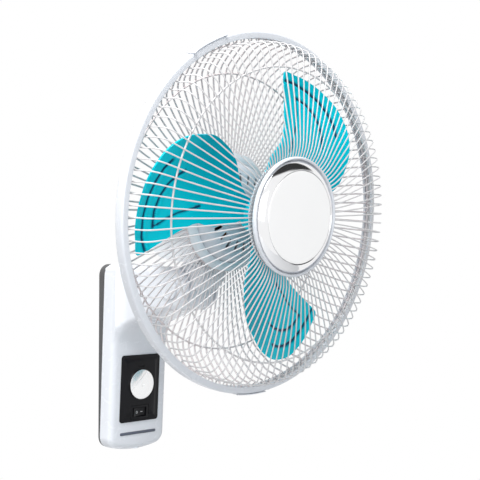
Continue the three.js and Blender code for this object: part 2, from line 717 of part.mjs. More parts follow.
function buildMotor(head) {
  piece(head, 'motor_rear_cover', rearCover(), WHITE_PLASTIC);
  piece(head, 'motor_front_cover', frontCover(), GREY_PLASTIC);
  piece(head, 'stator_core', stator(), IRON);
  piece(head, 'winding_rear', winding(CORE_REAR - 13, CORE_REAR - GAP), COPPER);
  piece(head, 'winding_front', winding(CORE_FRONT + GAP, CORE_FRONT + 13), COPPER);
  piece(head, 'rotor_core', rotorCore(), IRON);
  piece(head, 'motor_shaft', motorShaft(), STEEL);
  piece(head, 'bearing_rear', bearing(-179.5, -171.5), STEEL);
  piece(head, 'bearing_front', bearing(-46.5, -39), STEEL);
}

// ---------------------------------------------------------------- guards, hoop and cap

function around(radius, forward, turn) {
  return new THREE.Vector3(radius * Math.sin(turn), -forward, radius * Math.cos(turn));
}

function wireRing(radius, forward, thickness, sides) {
  const half = thickness / 2;
  return turnedForward(tube(radius - half, radius + half, forward - half, forward + half), sides);
}

// A guard is its rings and its radial wires, welded into one piece.
function guard(rings, profile) {
  const wires = Array.from({ length: GUARD_WIRES }, (_, i) => {
    const turn = (i + 0.5) * 2 * Math.PI / GUARD_WIRES;
    const upright = profile.map(([radius, forward]) => [-forward, radius]);
    return pushedAcross(stripOutline(upright, WIRE), WIRE / 2).rotateY(turn);
  });
  return joined(...rings, ...wires);
}

function frontGuard() {
  const rings = [
    wireRing(RIM_WIRE_RADIUS, FRONT_RIM_DEPTH, RIM_WIRE, 2 * GUARD_WIRES),
    wireRing(FRONT_RING_RADIUS, FRONT_RING_DEPTH, WIRE, 2 * GUARD_WIRES),
    wireRing(CAP_RING_RADIUS, CAP_RING_DEPTH, WIRE, GUARD_WIRES),
  ];
  return guard(rings, [[RIM_WIRE_RADIUS, FRONT_RIM_DEPTH], [204.8, FRONT_RIM_DEPTH + 0.2],
    [203.6, 18], [193, 28], [100, 44.6], [86, 46.6], [74, 45], [CAP_RING_RADIUS, CAP_RING_DEPTH]]);
}

function rearGuard() {
  const rings = [
    wireRing(RIM_WIRE_RADIUS, REAR_RIM_DEPTH, RIM_WIRE, 2 * GUARD_WIRES),
    wireRing(REAR_RING_RADIUS, REAR_RING_DEPTH, WIRE, 2 * GUARD_WIRES),
    wireRing(MOTOR_RING_RADIUS, REAR_GUARD_DEPTH, WIRE, GUARD_WIRES),
  ];
  return guard(rings, [[RIM_WIRE_RADIUS, REAR_RIM_DEPTH], [205.6, REAR_RIM_DEPTH - 0.4],
    [204.6, -17], [200, -28], [188, -42], [178, -52], [168, -56.8], [140, -60.5],
    [MOTOR_RING_RADIUS - 1, REAR_GUARD_DEPTH]]);
}

// A flanged ring that clamps the rear guard's inner ring to the motor.
function guardRing() {
  return turnedForward([
    [MOTOR_RADIUS + 2 * GAP, -56], [66, -56], [66, -59.5], [74, -59.5], [74, -57.5], [68, -53.5],
    [MOTOR_RADIUS + 2 * GAP, -53.5], [MOTOR_RADIUS + 2 * GAP, -56]]);
}

function hoopProfile() {
  const outer = HOOP_RADIUS;
  const inner = HOOP_RADIUS - HOOP_WALL - 0.2;
  const edge = 0.8;
  return [[HOOP_MOUTH, -HOOP_WALL], [inner, -HOOP_WALL], [inner, HOOP_WALL - HOOP_WIDTH],
    [HOOP_MOUTH, HOOP_WALL - HOOP_WIDTH], [HOOP_MOUTH, -HOOP_WIDTH], [outer - edge, -HOOP_WIDTH],
    [outer, edge - HOOP_WIDTH], [outer, -edge], [outer - edge, 0], [HOOP_MOUTH, 0],
    [HOOP_MOUTH, -HOOP_WALL]];
}

function wedgeAround(turn, halfAngle, radius) {
  const left = around(radius, 0, turn - halfAngle);
  const right = around(radius, 0, turn + halfAngle);
  const shape = polygon([[0, 0], [left.x, left.z], [right.x, right.z]]);
  return pushedForward(shape, 60, -60);
}

const CLASP_TURN = Math.PI;
const CLASP_HALF = 0.112;
const CLIP_TURN = -30 * Math.PI / 180;
const CLIP_HALF = 0.13;

function hoop() {
  const ring = turnedForward(hoopProfile(), 60);
  return cut(ring, wedgeAround(CLASP_TURN, 0.004, 300));
}

// A short saddle over the outside of the hoop, in the given direction.
function hoopSaddle(turn, halfAngle, thickness) {
  const outer = HOOP_RADIUS + GAP + thickness;
  const ring = turnedForward([[HOOP_RADIUS + GAP, 0.3], [HOOP_RADIUS + GAP, -HOOP_WIDTH - 0.3],
    [outer, -HOOP_WIDTH + 0.6], [outer, -0.6], [HOOP_RADIUS + GAP, 0.3]], 96);
  const sector = wedgeAround(turn, halfAngle, 300);
  return toGeometry(toSolid(ring).intersect(toSolid(sector)));
}

// The rim overhangs the skirt that presses on the wires.
function capRim() {
  const skirtFoot = CAP_RING_DEPTH + 3.8;
  return turnedForward([
    [60.5, 50.2], [63.2, 49.8], [63.2, skirtFoot], [65.6, skirtFoot], [65.6, 49.3],
    [CAP_RADIUS - 1.2, 48.6], [CAP_RADIUS, 50.4], [CAP_RADIUS - 0.6, 53],
    [64, 55], [60.5, 54.2], [60.5, 50.2]], 48);
}

function capBevel() {
  return turnedForward([
    [56.5, 51.2], [60.2, 51.2], [60.2, 54.2], [56.5, 53], [56.5, 51.2]], 48);
}

function capDisc() {
  return turnedForward([
    [0, 51.2], [56.2, 51.2], [56.2, 53.6], [54, 55.2], [40, 57.6], [20, 59.4], [0, 60]], 36);
}

// The plate behind the wires that the rim is screwed to.
function capBacking() {
  const rear = CAP_RING_DEPTH - 6.2;
  return turnedForward([
    [0, rear], [30, rear], [34, rear + 2.8], [66, rear + 2], [66, rear + 3.8], [34, rear + 4.6],
    [29, rear + 2], [0, rear + 2]], 24);
}

function buildGuards(head) {
  piece(head, 'rear_guard', rearGuard(), GUARD_PAINT);
  piece(head, 'guard_ring', guardRing(), WHITE_PLASTIC);
  piece(head, 'front_guard', frontGuard(), GUARD_PAINT);
  piece(head, 'hoop', hoop(), WHITE_PLASTIC);
  piece(head, 'hoop_clip', hoopSaddle(CLIP_TURN, CLIP_HALF, 1.5), WHITE_PLASTIC);
  piece(head, 'hoop_clasp', hoopSaddle(CLASP_TURN, CLASP_HALF, 1.2), WHITE_PLASTIC);
  piece(head, 'cap_rim', capRim(), WHITE_PLASTIC);
  piece(head, 'cap_bevel', capBevel(), CHROME);
  piece(head, 'cap_disc', capDisc(), PEARL);
  piece(head, 'cap_backing', capBacking(), WHITE_PLASTIC);
}

// ---------------------------------------------------------------- blades, in the head's frame

const BLADE_THICKNESS = 2;

// The leading edge is hollow and ends in a point that is swept forwards; [along, clockwise].
const LEADING_EDGE = [[14, -12], [38, -32], [60, -42], [86, -46], [108, -63], [126, -88], [141, -109]];
const TRAILING_EDGE = [[14, 12], [48, 22], [70, 38], [100, 46], [138, 41], [170, 17], [183, -18],
  [179, -54], [166, -87], [147, -111]];

function curveThrough(points) {
  return new THREE.SplineCurve(points.map(([x, y]) => new THREE.Vector2(x, y)));
}

// How far forward the blade's middle surface lies; the leading edge is the rear one.
function bladeForward(along, clockwise, chord) {
  const reach = along / 100 - 1;
  const side = clockwise / 100;
  const plane = -3.5 + 11.6 * reach + 19.2 * side + 4.9 * reach * side;
  return plane - 5 * (1 - (2 * chord - 1) ** 2);
}

function blade(turn) {
  const rows = 9;
  const columns = 4;
  const leading = curveThrough(LEADING_EDGE);
  const trailing = curveThrough(TRAILING_EDGE);
  const places = [];
  const faces = [];
  const at = (side, row, column) => (side * (rows + 1) + row) * (columns + 1) + column;
  [-0.5, 0.5].forEach((side) => {
    for (let row = 0; row <= rows; row += 1) {
      const share = row / rows;
      const from = leading.getPointAt(share);
      const to = trailing.getPointAt(share);
      for (let column = 0; column <= columns; column += 1) {
        const chord = column / columns;
        const spot = from.clone().lerp(to, chord);
        const forward = bladeForward(spot.x, spot.y, chord) + side * BLADE_THICKNESS;
        const angle = turn + Math.atan2(spot.y, spot.x);
        const place = around(spot.length(), forward, angle);
        places.push(place.x, place.y, place.z);
      }
    }
  });
  const quad = (a, b, c, d) => faces.push(a, b, c, a, c, d);
  for (let row = 0; row < rows; row += 1) {
    for (let column = 0; column < columns; column += 1) {
      quad(at(0, row, column), at(0, row, column + 1), at(0, row + 1, column + 1),
        at(0, row + 1, column));
      quad(at(1, row, column), at(1, row + 1, column), at(1, row + 1, column + 1),
        at(1, row, column + 1));
    }
    quad(at(0, row, 0), at(0, row + 1, 0), at(1, row + 1, 0), at(1, row, 0));
    quad(at(0, row, columns), at(1, row, columns), at(1, row + 1, columns),
      at(0, row + 1, columns));
  }
  for (let column = 0; column < columns; column += 1) {
    quad(at(0, 0, column), at(1, 0, column), at(1, 0, column + 1), at(0, 0, column + 1));
    quad(at(0, rows, column), at(0, rows, column + 1), at(1, rows, column + 1),
      at(1, rows, column));
  }
  const geometry = new THREE.BufferGeometry();
  geometry.setAttribute('position', new THREE.Float32BufferAttribute(places, 3));
  geometry.setIndex(faces);
  return geometry;
}

// The hub and its three blades are one moulding.
function bladeRotor() {
  const hub = turnedForward([[0, -22], [HUB_RADIUS, -22], [HUB_RADIUS, 2], [HUB_RADIUS - 3, 5],
    [0, 5]], 36);
  const blades = Array.from({ length: BLADE_COUNT }, (_, i) => blade(
    THREE.MathUtils.degToRad(BLADE_PHASE + i * 360 / BLADE_COUNT)));
  const bore = turnedForward(rod(SHAFT_RADIUS + GAP, -40, 20), 20);
  const rearHollow = turnedForward(tube(8, HUB_RADIUS - 3, -30, -18), 36);
  return cut(joined(hub, ...blades), bore, rearHollow);
}

function bladeNut() {
  const bore = SHAFT_RADIUS + GAP;
  return turnedForward([[bore, 5.3], [12, 5.3], [12, 12], [9, 17], [0, 19], [0, 14.3],
    [bore, 14.3], [bore, 5.3]], 16);
}

function buildBlades(head) {
  piece(head, 'blade_rotor', bladeRotor(), TEAL_PLASTIC);
  piece(head, 'blade_nut', bladeNut(), WHITE_PLASTIC);
}

// ---------------------------------------------------------------- whole fan

const fan = new THREE.Group();
fan.name = 'wall_fan';
buildBase(fan);

const head = new THREE.Group();
head.name = 'head';
head.position.set(0, HOOP_Y, HOOP_Z);
head.rotation.x = HEAD_LEAN;
fan.add(head);
buildNeck(head);
buildMotor(head);
buildGuards(head);
buildBlades(head);

export default fan;
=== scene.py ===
import math

import bpy
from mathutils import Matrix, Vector


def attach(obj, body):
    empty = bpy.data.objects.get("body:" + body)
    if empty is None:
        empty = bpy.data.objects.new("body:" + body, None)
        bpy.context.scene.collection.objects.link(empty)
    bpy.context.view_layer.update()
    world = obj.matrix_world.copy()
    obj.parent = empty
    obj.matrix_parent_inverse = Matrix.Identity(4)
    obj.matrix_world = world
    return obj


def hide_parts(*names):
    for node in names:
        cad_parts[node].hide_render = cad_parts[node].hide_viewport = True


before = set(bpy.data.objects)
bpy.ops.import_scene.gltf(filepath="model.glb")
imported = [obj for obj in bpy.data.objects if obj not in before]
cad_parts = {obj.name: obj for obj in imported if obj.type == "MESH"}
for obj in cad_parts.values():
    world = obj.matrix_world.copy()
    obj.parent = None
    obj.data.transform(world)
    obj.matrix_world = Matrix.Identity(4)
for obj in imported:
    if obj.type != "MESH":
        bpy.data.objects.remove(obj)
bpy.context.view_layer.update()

# Lengths are in millimetres unless a comment says metres; mm() hands them to Blender.
MM = 0.001
TURN = 2 * math.pi

# The head's pieces are made level, with the fan's axis along Y and the hoop's centre at the
# origin. on_head leans them back by HEAD_LEAN and takes them to HOOP_CENTRE.
HEAD_LEAN = math.radians(5.64)
HOOP_CENTRE = (0, -262, 185)
SWING_AXIS = 97  # how far the swing axis stands behind the hoop's centre

# The tilt axis, as (y, z).
PIVOT = (-127, 95)

# The base's front face and its rear plate, both deepest at the top, as depth from the wall.
SHELL_TOP = 128
FACE_TOP, FACE_SLOPE = 38, 0.055
BACK_TOP, BACK_TAPER = 13.0, 0.040

# The panel's middle, and how high its parts stand above that.
PANEL_LEAN = math.atan(FACE_SLOPE)
PANEL_Z = -40.6
DIAL_UP, ROCKER_UP, BAR_UP = 5.3, -32.7, -60.7


# ------------------------------------------------------------------ working by hand

def mm(*lengths):
    return Vector([length * MM for length in lengths])


def take(*pieces):
    if bpy.context.mode != "OBJECT":
        bpy.ops.object.mode_set(mode="OBJECT")
    bpy.ops.object.select_all(action="DESELECT")
    for piece in pieces:
        piece.select_set(True)
    if pieces:
        bpy.context.view_layer.objects.active = pieces[0]


def edit(piece):
    take(piece)
    bpy.ops.object.mode_set(mode="EDIT")
    bpy.ops.mesh.select_mode(type="VERT")
    bpy.ops.mesh.select_all(action="SELECT")


def leave_edit():
    bpy.ops.object.mode_set(mode="OBJECT")


def pick(kind, test):
    """In edit mode, leaves selected only the corners, edges or faces that pass the test."""
    mesh = bpy.context.object.data
    bpy.ops.mesh.select_mode(type=kind)
    bpy.ops.mesh.select_all(action="DESELECT")
    bpy.ops.object.mode_set(mode="OBJECT")
    if kind == "FACE":
        for face in mesh.polygons:
            face.select = test(face.center / MM, face.normal)
    elif kind == "EDGE":
        for edge in mesh.edges:
            edge.select = test(*(mesh.vertices[end].co / MM for end in edge.vertices))
    else:
        for corner in mesh.vertices:
            corner.select = test(corner.co / MM)
    bpy.ops.object.mode_set(mode="EDIT")


def shift(*lengths):
    """In edit mode, moves what is selected."""
    bpy.ops.transform.translate(value=mm(*lengths))


def swivel(axis, angle):
    """In edit mode, turns what is selected about an axis through the origin. With no window the
    operator turns left-handed: clockwise, seen with the axis toward the viewer."""
    bpy.ops.transform.rotate(value=angle, orient_axis=axis, orient_type="GLOBAL",
                             center_override=(0, 0, 0))


def moved(piece, *lengths):
    edit(piece)
    shift(*lengths)
    leave_edit()
    return piece


def swivelled(piece, axis, angle):
    edit(piece)
    swivel(axis, angle)
    leave_edit()
    return piece


def draw(name, places, close=False, fill=False):
    """A plane shrunk to one corner, then drawn out along the places, as an edge chain."""
    take()
    bpy.ops.mesh.primitive_plane_add(size=MM)
    piece = bpy.context.object
    piece.name = piece.data.name = name
    edit(piece)
    bpy.ops.mesh.merge(type="CENTER")
    shift(*places[0])
    for before, after in zip(places, places[1:]):
        step = Vector(after) - Vector(before)
        bpy.ops.mesh.extrude_vertices_move(TRANSFORM_OT_translate={"value": step * MM})
    if close or fill:
        bpy.ops.object.mode_set(mode="OBJECT")
        corners = piece.data.vertices
        for corner in corners:
            corner.select = corner.index in (0, len(corners) - 1)
        bpy.ops.object.mode_set(mode="EDIT")
        bpy.ops.mesh.edge_face_add()
    if fill:
        bpy.ops.mesh.select_all(action="SELECT")
        bpy.ops.mesh.edge_face_add()
    bpy.ops.mesh.select_all(action="SELECT")
    return piece


def weld(piece):
    """Merges corners that lie together and turns every face outward."""
    edit(piece)
    bpy.ops.mesh.remove_doubles(threshold=0.004 * MM)
    bpy.ops.mesh.normals_make_consistent(inside=False)
    leave_edit()
    return piece


def turned(name, profile, steps, close=True):
    """Turned about the fan's own axis from (radius, forward) points."""
    piece = draw(name, [(0, -forward, radius) for radius, forward in profile], close)
    bpy.ops.mesh.spin(steps=steps, angle=TURN, center=(0, 0, 0), axis=(0, 1, 0))
    return weld(piece)


def pushed(name, outline, direction):
    """A flat outline, filled and pushed along the direction."""
    piece = draw(name, outline, fill=True)
    bpy.ops.mesh.extrude_region_move(TRANSFORM_OT_translate={"value": mm(*direction)})
    return weld(piece)


def block(name, size, place):
    take()
    bpy.ops.mesh.primitive_cube_add(size=MM, location=mm(*place))
    piece = bpy.context.object
    piece.name = piece.data.name = name
    piece.scale = size
    bpy.ops.object.transform_apply(location=True, rotation=True, scale=True)
    return piece


def rod(name, radius, half, place, axis, sides):
    """A cylinder along the axis, from -half to half about its place."""
    take()
    turn = {"X": (0, math.pi / 2, 0), "Y": (math.pi / 2, 0, 0), "Z": (0, 0, 0)}[axis]
    bpy.ops.mesh.primitive_cylinder_add(vertices=sides, radius=radius * MM, depth=2 * half * MM,
                                        location=mm(*place), rotation=turn)
    piece = bpy.context.object
    piece.name = piece.data.name = name
    bpy.ops.object.transform_apply(location=True, rotation=True, scale=True)
    return piece


def use(piece, kind, **settings):
    """Adds a modifier, sets it and applies it."""
    take(piece)
    step = piece.modifiers.new(kind.title(), kind)
    for key, value in settings.items():
        setattr(step, key, value)
    bpy.ops.object.modifier_apply(modifier=step.name)
    return piece


def soften(piece, width, segments, above=30):
    """Rounds the edges that are sharper than the angle, in degrees."""
    return use(piece, "BEVEL", width=width * MM, segments=segments, limit_method="ANGLE",
               angle_limit=math.radians(above), harden_normals=False)


def combine(piece, other, operation):
    use(piece, "BOOLEAN", operation=operation, solver="EXACT", object=other)
    bpy.data.objects.remove(other, do_unlink=True)
    return piece


def carve(piece, *cutters):
    for cutter in cutters:
        combine(piece, cutter, "DIFFERENCE")
    return piece


def join(name, *pieces):
    take(*pieces)
    bpy.ops.object.join()
    piece = bpy.context.object
    piece.name = piece.data.name = name
    return piece


def close_gaps(piece):
    """Fills the slivers that a cut can leave open."""
    edit(piece)
    bpy.ops.mesh.remove_doubles(threshold=0.01 * MM)
    bpy.ops.mesh.select_all(action="DESELECT")
    bpy.ops.mesh.select_non_manifold()
    bpy.ops.mesh.fill_holes(sides=0)
    leave_edit()
    return weld(piece)


def copy_swivelled(piece, axis, angle):
    """A copy with its own mesh, turned about an axis."""
    twin = piece.copy()
    twin.data = piece.data.copy()
    bpy.context.collection.objects.link(twin)
    return swivelled(twin, axis, angle)


def place(piece, lean, spot):
    """A piece made level about the origin is leant and moved; its object stays at the origin."""
    take(piece)
    piece.rotation_euler = (lean, 0, 0)
    piece.location = mm(*spot)
    bpy.ops.object.transform_apply(location=True, rotation=True, scale=True)
    return piece


def on_head(piece):
    return place(piece, HEAD_LEAN, HOOP_CENTRE)


def face_depth(z):
    return FACE_TOP - FACE_SLOPE * (SHELL_TOP - z)


def back_depth(z):
    return BACK_TOP - BACK_TAPER * (SHELL_TOP - z)


def on_panel(piece):
    return place(piece, PANEL_LEAN, (0, -face_depth(PANEL_Z), PANEL_Z))


def fit(piece, body, look, solid, angle=35):
    """The finished piece gets its look, its body and the solid that it stands for. Edges up to
    the angle, in degrees, are shaded smooth."""
    take(piece)
    piece.data.materials.clear()
    piece.data.materials.append(look)
    bpy.ops.object.shade_smooth_by_angle(angle=math.radians(angle))
    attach(piece, body)
    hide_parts(solid)


def curve_through(points, count):
    """Even steps along a smooth curve through the points."""
    per_span = 24
    fine = []
    for i in range(len(points) - 1):
        p0 = Vector(points[max(i - 1, 0)])
        p1 = Vector(points[i])
        p2 = Vector(points[i + 1])
        p3 = Vector(points[min(i + 2, len(points) - 1)])
        for k in range(per_span):
            t = k / per_span
            fine.append(0.5 * (2 * p1 + (p2 - p0) * t + (2 * p0 - 5 * p1 + 4 * p2 - p3) * t * t
                               + (3 * p1 - p0 - 3 * p2 + p3) * t ** 3))
    fine.append(Vector(points[-1]))
    far = [0.0]
    for before, after in zip(fine, fine[1:]):
        far.append(far[-1] + (after - before).length)
    steps = []
    i = 0
    for k in range(count):
        want = far[-1] * k / (count - 1)
        while i < len(far) - 2 and far[i + 1] < want:
            i += 1
        share = (want - far[i]) / max(far[i + 1] - far[i], 1e-9)
        steps.append(fine[i].lerp(fine[i + 1], share))
    return steps


# ------------------------------------------------------------------ finishes

def group(name, inputs, outputs):
    tree = bpy.data.node_groups.new(name, "ShaderNodeTree")
    for label, default in inputs:
        socket = tree.interface.new_socket(label, in_out="INPUT", socket_type="NodeSocketFloat")
        socket.default_value = default
    for label in outputs:
        tree.interface.new_socket(label, in_out="OUTPUT", socket_type="NodeSocketFloat")
    return tree


def node(tree, kind, inputs=None, **settings):
    """A shader node with its settings and inputs; an input may be a number or a socket."""
    made = tree.nodes.new("ShaderNode" + kind)
    for key, value in settings.items():
        setattr(made, key, value)
    for key, value in (inputs or {}).items():
        if isinstance(value, bpy.types.NodeSocket):
            tree.links.new(value, made.inputs[key])
        else:
            made.inputs[key].default_value = value
    return made


def blend(tree, share, first, second):
    """A mix of two colours, each a socket or a value."""
    made = node(tree, "Mix", {"Factor": share, "A": first, "B": second}, data_type="RGBA")
    return made.outputs["Result"]


def moulding_group():
    """Fine orange peel, slow waviness and faint smears of a moulded or painted skin."""
    tree = group("moulded skin", [("Peel", 900.0), ("Wave", 26.0)], ["Height", "Tone", "Smear"])
    given = tree.nodes.new("NodeGroupInput")
    out = tree.nodes.new("NodeGroupOutput")
    spot = node(tree, "TexCoord").outputs["Object"]
    peel = node(tree, "TexNoise", {"Vector": spot, "Scale": given.outputs["Peel"],
                                   "Detail": 2.0})
    wave = node(tree, "TexNoise", {"Vector": spot, "Scale": given.outputs["Wave"],
                                   "Detail": 3.0})
    smear = node(tree, "TexNoise", {"Vector": spot, "Scale": 60.0, "Detail": 5.0,
                                    "Roughness": 0.65, "Distortion": 1.5})
    mixed = node(tree, "Math", {0: wave.outputs["Fac"], 1: 0.8}, operation="MULTIPLY")
    height = node(tree, "Math", {0: peel.outputs["Fac"], 1: mixed.outputs[0]}, operation="ADD")
    tree.links.new(height.outputs[0], out.inputs["Height"])
    tree.links.new(wave.outputs["Fac"], out.inputs["Tone"])
    tree.links.new(smear.outputs["Fac"], out.inputs["Smear"])
    return tree


def dust_group():
    """A mask for the thin dust that settles on what faces up."""
    tree = group("settled dust", [("Amount", 0.2)], ["Mask"])
    given = tree.nodes.new("NodeGroupInput")
    out = tree.nodes.new("NodeGroupOutput")
    spot = node(tree, "TexCoord").outputs["Object"]
    facing = node(tree, "NewGeometry").outputs["Normal"]
    up = node(tree, "SeparateXYZ", {"Vector": facing}).outputs["Z"]
    ramp = node(tree, "MapRange", {"Value": up, "From Min": 0.35, "From Max": 1.0})
    specks = node(tree, "TexNoise", {"Vector": spot, "Scale": 1400.0, "Detail": 3.0})
    patchy = node(tree, "MapRange", {"Value": specks.outputs["Fac"], "From Min": 0.42,
                                     "From Max": 0.7})
    both = node(tree, "Math", {0: ramp.outputs[0], 1: patchy.outputs[0]}, operation="MULTIPLY")
    mask = node(tree, "Math", {0: both.outputs[0], 1: given.outputs["Amount"]},
                operation="MULTIPLY")
    tree.links.new(mask.outputs[0], out.inputs["Mask"])
    return tree


MOULDING = moulding_group()
DUST = dust_group()
DUST_COLOUR = (0.55, 0.54, 0.52, 1)
BUMP_DEPTH = 0.0004  # metres


def finish(name, colour, roughness, tone=0.03, relief=0.04, peel=900.0, wave=26.0, dust=0.15,
           metallic=0.0, coat=0.0, spread=0.06, specular=0.5):
    """A moulded, painted or plated skin: colour and gloss wander by tone and spread, and the
    surface carries a fine peel and a slow wave, both in cells to the metre."""
    material = bpy.data.materials.new(name)
    material.use_nodes = True
    tree = material.node_tree
    shader = tree.nodes["Principled BSDF"]
    skin = node(tree, "Group", node_tree=MOULDING)
    skin.inputs["Peel"].default_value = peel
    skin.inputs["Wave"].default_value = wave
    dusty = node(tree, "Group", node_tree=DUST)
    dusty.inputs["Amount"].default_value = dust
    darker = [c * (1 - tone) for c in colour] + [1]
    lighter = [min(c * (1 + tone), 1) for c in colour] + [1]
    hue = blend(tree, skin.outputs["Tone"], darker, lighter)
    top = blend(tree, dusty.outputs["Mask"], hue, DUST_COLOUR)
    gloss = node(tree, "MapRange", {"Value": skin.outputs["Smear"], "From Min": 0.3,
                                    "From Max": 0.7, "To Min": roughness - spread / 2,
                                    "To Max": roughness + spread / 2})
    bump = node(tree, "Bump", {"Height": skin.outputs["Height"], "Strength": relief,
                               "Distance": BUMP_DEPTH})
    tree.links.new(top, shader.inputs["Base Color"])
    tree.links.new(gloss.outputs[0], shader.inputs["Roughness"])
    tree.links.new(bump.outputs["Normal"], shader.inputs["Normal"])
    shader.inputs["Metallic"].default_value = metallic
    shader.inputs["Coat Weight"].default_value = coat
    shader.inputs["Specular IOR Level"].default_value = specular
    return material


WHITE = finish("white gloss plastic", (0.83, 0.85, 0.89), 0.26, coat=0.15)
MOTOR_WHITE = finish("white motor plastic", (0.84, 0.86, 0.89), 0.32)
GREY = finish("light grey plastic", (0.66, 0.69, 0.74), 0.40)
DARK = finish("dark grained plastic", (0.075, 0.075, 0.078), 0.55, relief=0.35, peel=1500.0)
BLACK = finish("black gloss plastic", (0.008, 0.008, 0.010), 0.14, tone=0.2, dust=0.0,
               specular=0.15)
TEAL = finish("teal blade plastic", (0.0, 0.72, 0.86), 0.24, tone=0.05, relief=0.03, wave=14.0,
              dust=0.0, specular=0.12)
ENAMEL = finish("guard enamel", (0.76, 0.74, 0.74), 0.30, tone=0.03, relief=0.15, peel=1600.0,
                dust=0.05)
REAR_ENAMEL = finish("rear guard enamel", (0.78, 0.71, 0.71), 0.34, tone=0.04, relief=0.15,
                     peel=1600.0, dust=0.05)
PEARL = finish("pearl white cap", (0.97, 0.97, 0.97), 0.24, tone=0.01, relief=0.02, dust=0.0,
               metallic=0.75)
CHROME = finish("bright chrome", (0.90, 0.90, 0.91), 0.09, tone=0.03, relief=0.01, dust=0.0,
                metallic=1.0, spread=0.04)
STEEL = finish("zinc plated steel", (0.42, 0.43, 0.45), 0.36, tone=0.12, relief=0.1,
               metallic=1.0, spread=0.15)
COPPER = finish("copper winding", (0.50, 0.20, 0.09), 0.38, tone=0.25, relief=0.6, peel=2600.0,
                metallic=1.0, dust=0.0)
CORE = finish("core steel", (0.13, 0.14, 0.15), 0.45, tone=0.15, relief=0.3, metallic=1.0)
SLATE = finish("slate bar", (0.095, 0.11, 0.15), 0.30, tone=0.06, dust=0.03)


def colour_by(material, name, colour):
    """A second colour, as far as the mesh's own value of that name says."""
    tree = material.node_tree
    base = tree.nodes["Principled BSDF"].inputs["Base Color"]
    share = node(tree, "Attribute", attribute_name=name).outputs["Fac"]
    tree.links.new(blend(tree, share, base.links[0].from_socket, (*colour, 1)), base)


# Painted shade: the blade's teal is darkened in its pressed lines and toward its broad lobe. The
# rocker's marks are pale print.
colour_by(TEAL, "painted_shade", (0.0, 0.07, 0.16))
colour_by(BLACK, "mark", (0.45, 0.45, 0.45))


# ------------------------------------------------------------------ camera, floor and light

# The photo's own view, solved from the hoop and the cap.
CAMERA_SPOT = (-876.07, -1085.06, 112.64)
CAMERA_TURN = (math.radians(92.0), 0, math.radians(-45.38))
CAMERA_LENS, CAMERA_SENSOR = 75, 36

# The floor and the lamps are in metres and watts: name, place, side, power, colour.
FLOOR_SIDE, FLOOR_Z = 2.8, -0.9
LAMPS = [
    ("window light", (-1.35, -0.85, 2.65), 1.8, 115, (1.0, 1.0, 1.0)),
    ("side light", (-2.6, -0.35, 0.3), 1.5, 9, (1.0, 1.0, 1.0)),
    ("front light", (-1.5, -2.7, 0.5), 1.8, 26, (0.90, 0.95, 1.0)),
]
LAMP_AIM = (0, -0.2, 0.1)
ROOM_COLOUR, ROOM_STRENGTH = (0.93, 0.96, 1.0, 1), 0.27

# The dark zone that shiny pieces reflect: the way it lies, from where to where it fades in along
# that way, where it fades out toward the rear, and how dark it is.
DARK_WAY = (0.35, 0.0, 1.0)
DARK_IN, DARK_OUT = (0.71, 0.76), (-0.25, -0.20)
DARK_SHARE = 0.96


def set_camera():
    take()
    bpy.ops.object.camera_add(location=mm(*CAMERA_SPOT), rotation=CAMERA_TURN)
    camera = bpy.context.object
    camera.data.lens = CAMERA_LENS
    camera.data.sensor_width = CAMERA_SENSOR
    bpy.context.scene.camera = camera


def set_floor():
    bpy.ops.mesh.primitive_plane_add(size=FLOOR_SIDE, location=(0, 0, FLOOR_Z))
    floor = bpy.context.object
    floor.name = "floor"
    pale = bpy.data.materials.new("pale floor")
    pale.use_nodes = True
    shader = pale.node_tree.nodes["Principled BSDF"]
    shader.inputs["Base Color"].default_value = (0.8, 0.8, 0.8, 1)
    shader.inputs["Roughness"].default_value = 0.7
    floor.data.materials.append(pale)


def set_world():
    """A weak cool fill on what is matt, and pure white behind the fan. What shines reflects that
    white too, but for one dark zone high up and ahead, which gives the chrome its crescent."""
    world = bpy.data.worlds.new("white room")
    bpy.context.scene.world = world
    world.use_nodes = True
    tree = world.node_tree
    tree.nodes.clear()
    rays = node(tree, "LightPath")
    either = node(tree, "Math", {0: rays.outputs["Is Camera Ray"],
                                 1: rays.outputs["Is Glossy Ray"]}, operation="MAXIMUM")
    seen = node(tree, "Math", {0: either.outputs[0], 1: rays.outputs["Is Transmission Ray"]},
                operation="MAXIMUM")
    room = node(tree, "Background", {"Color": ROOM_COLOUR, "Strength": ROOM_STRENGTH})
    way = node(tree, "TexCoord").outputs["Generated"]
    height = node(tree, "VectorMath", {0: way, 1: DARK_WAY}, operation="DOT_PRODUCT")
    above = node(tree, "MapRange", {"Value": height.outputs["Value"], "From Min": DARK_IN[0],
                                    "From Max": DARK_IN[1]})
    depth = node(tree, "SeparateXYZ", {"Vector": way}).outputs["Y"]
    ahead = node(tree, "MapRange", {"Value": depth, "From Min": DARK_OUT[0],
                                    "From Max": DARK_OUT[1], "To Min": DARK_SHARE,
                                    "To Max": 0.0})
    dark = node(tree, "Math", {0: above.outputs[0], 1: ahead.outputs[0]}, operation="MULTIPLY")
    bright = node(tree, "Math", {0: 1.0, 1: dark.outputs[0]}, operation="SUBTRACT")
    lit = node(tree, "Math", {0: bright.outputs[0], 1: rays.outputs["Is Camera Ray"]},
               operation="MAXIMUM")
    white = node(tree, "Background", {"Color": (1, 1, 1, 1), "Strength": lit.outputs[0]})
    mix = node(tree, "MixShader", {0: seen.outputs[0], 1: room.outputs[0], 2: white.outputs[0]})
    node(tree, "OutputWorld", {"Surface": mix.outputs[0]})
    bpy.context.scene.view_settings.view_transform = "Standard"


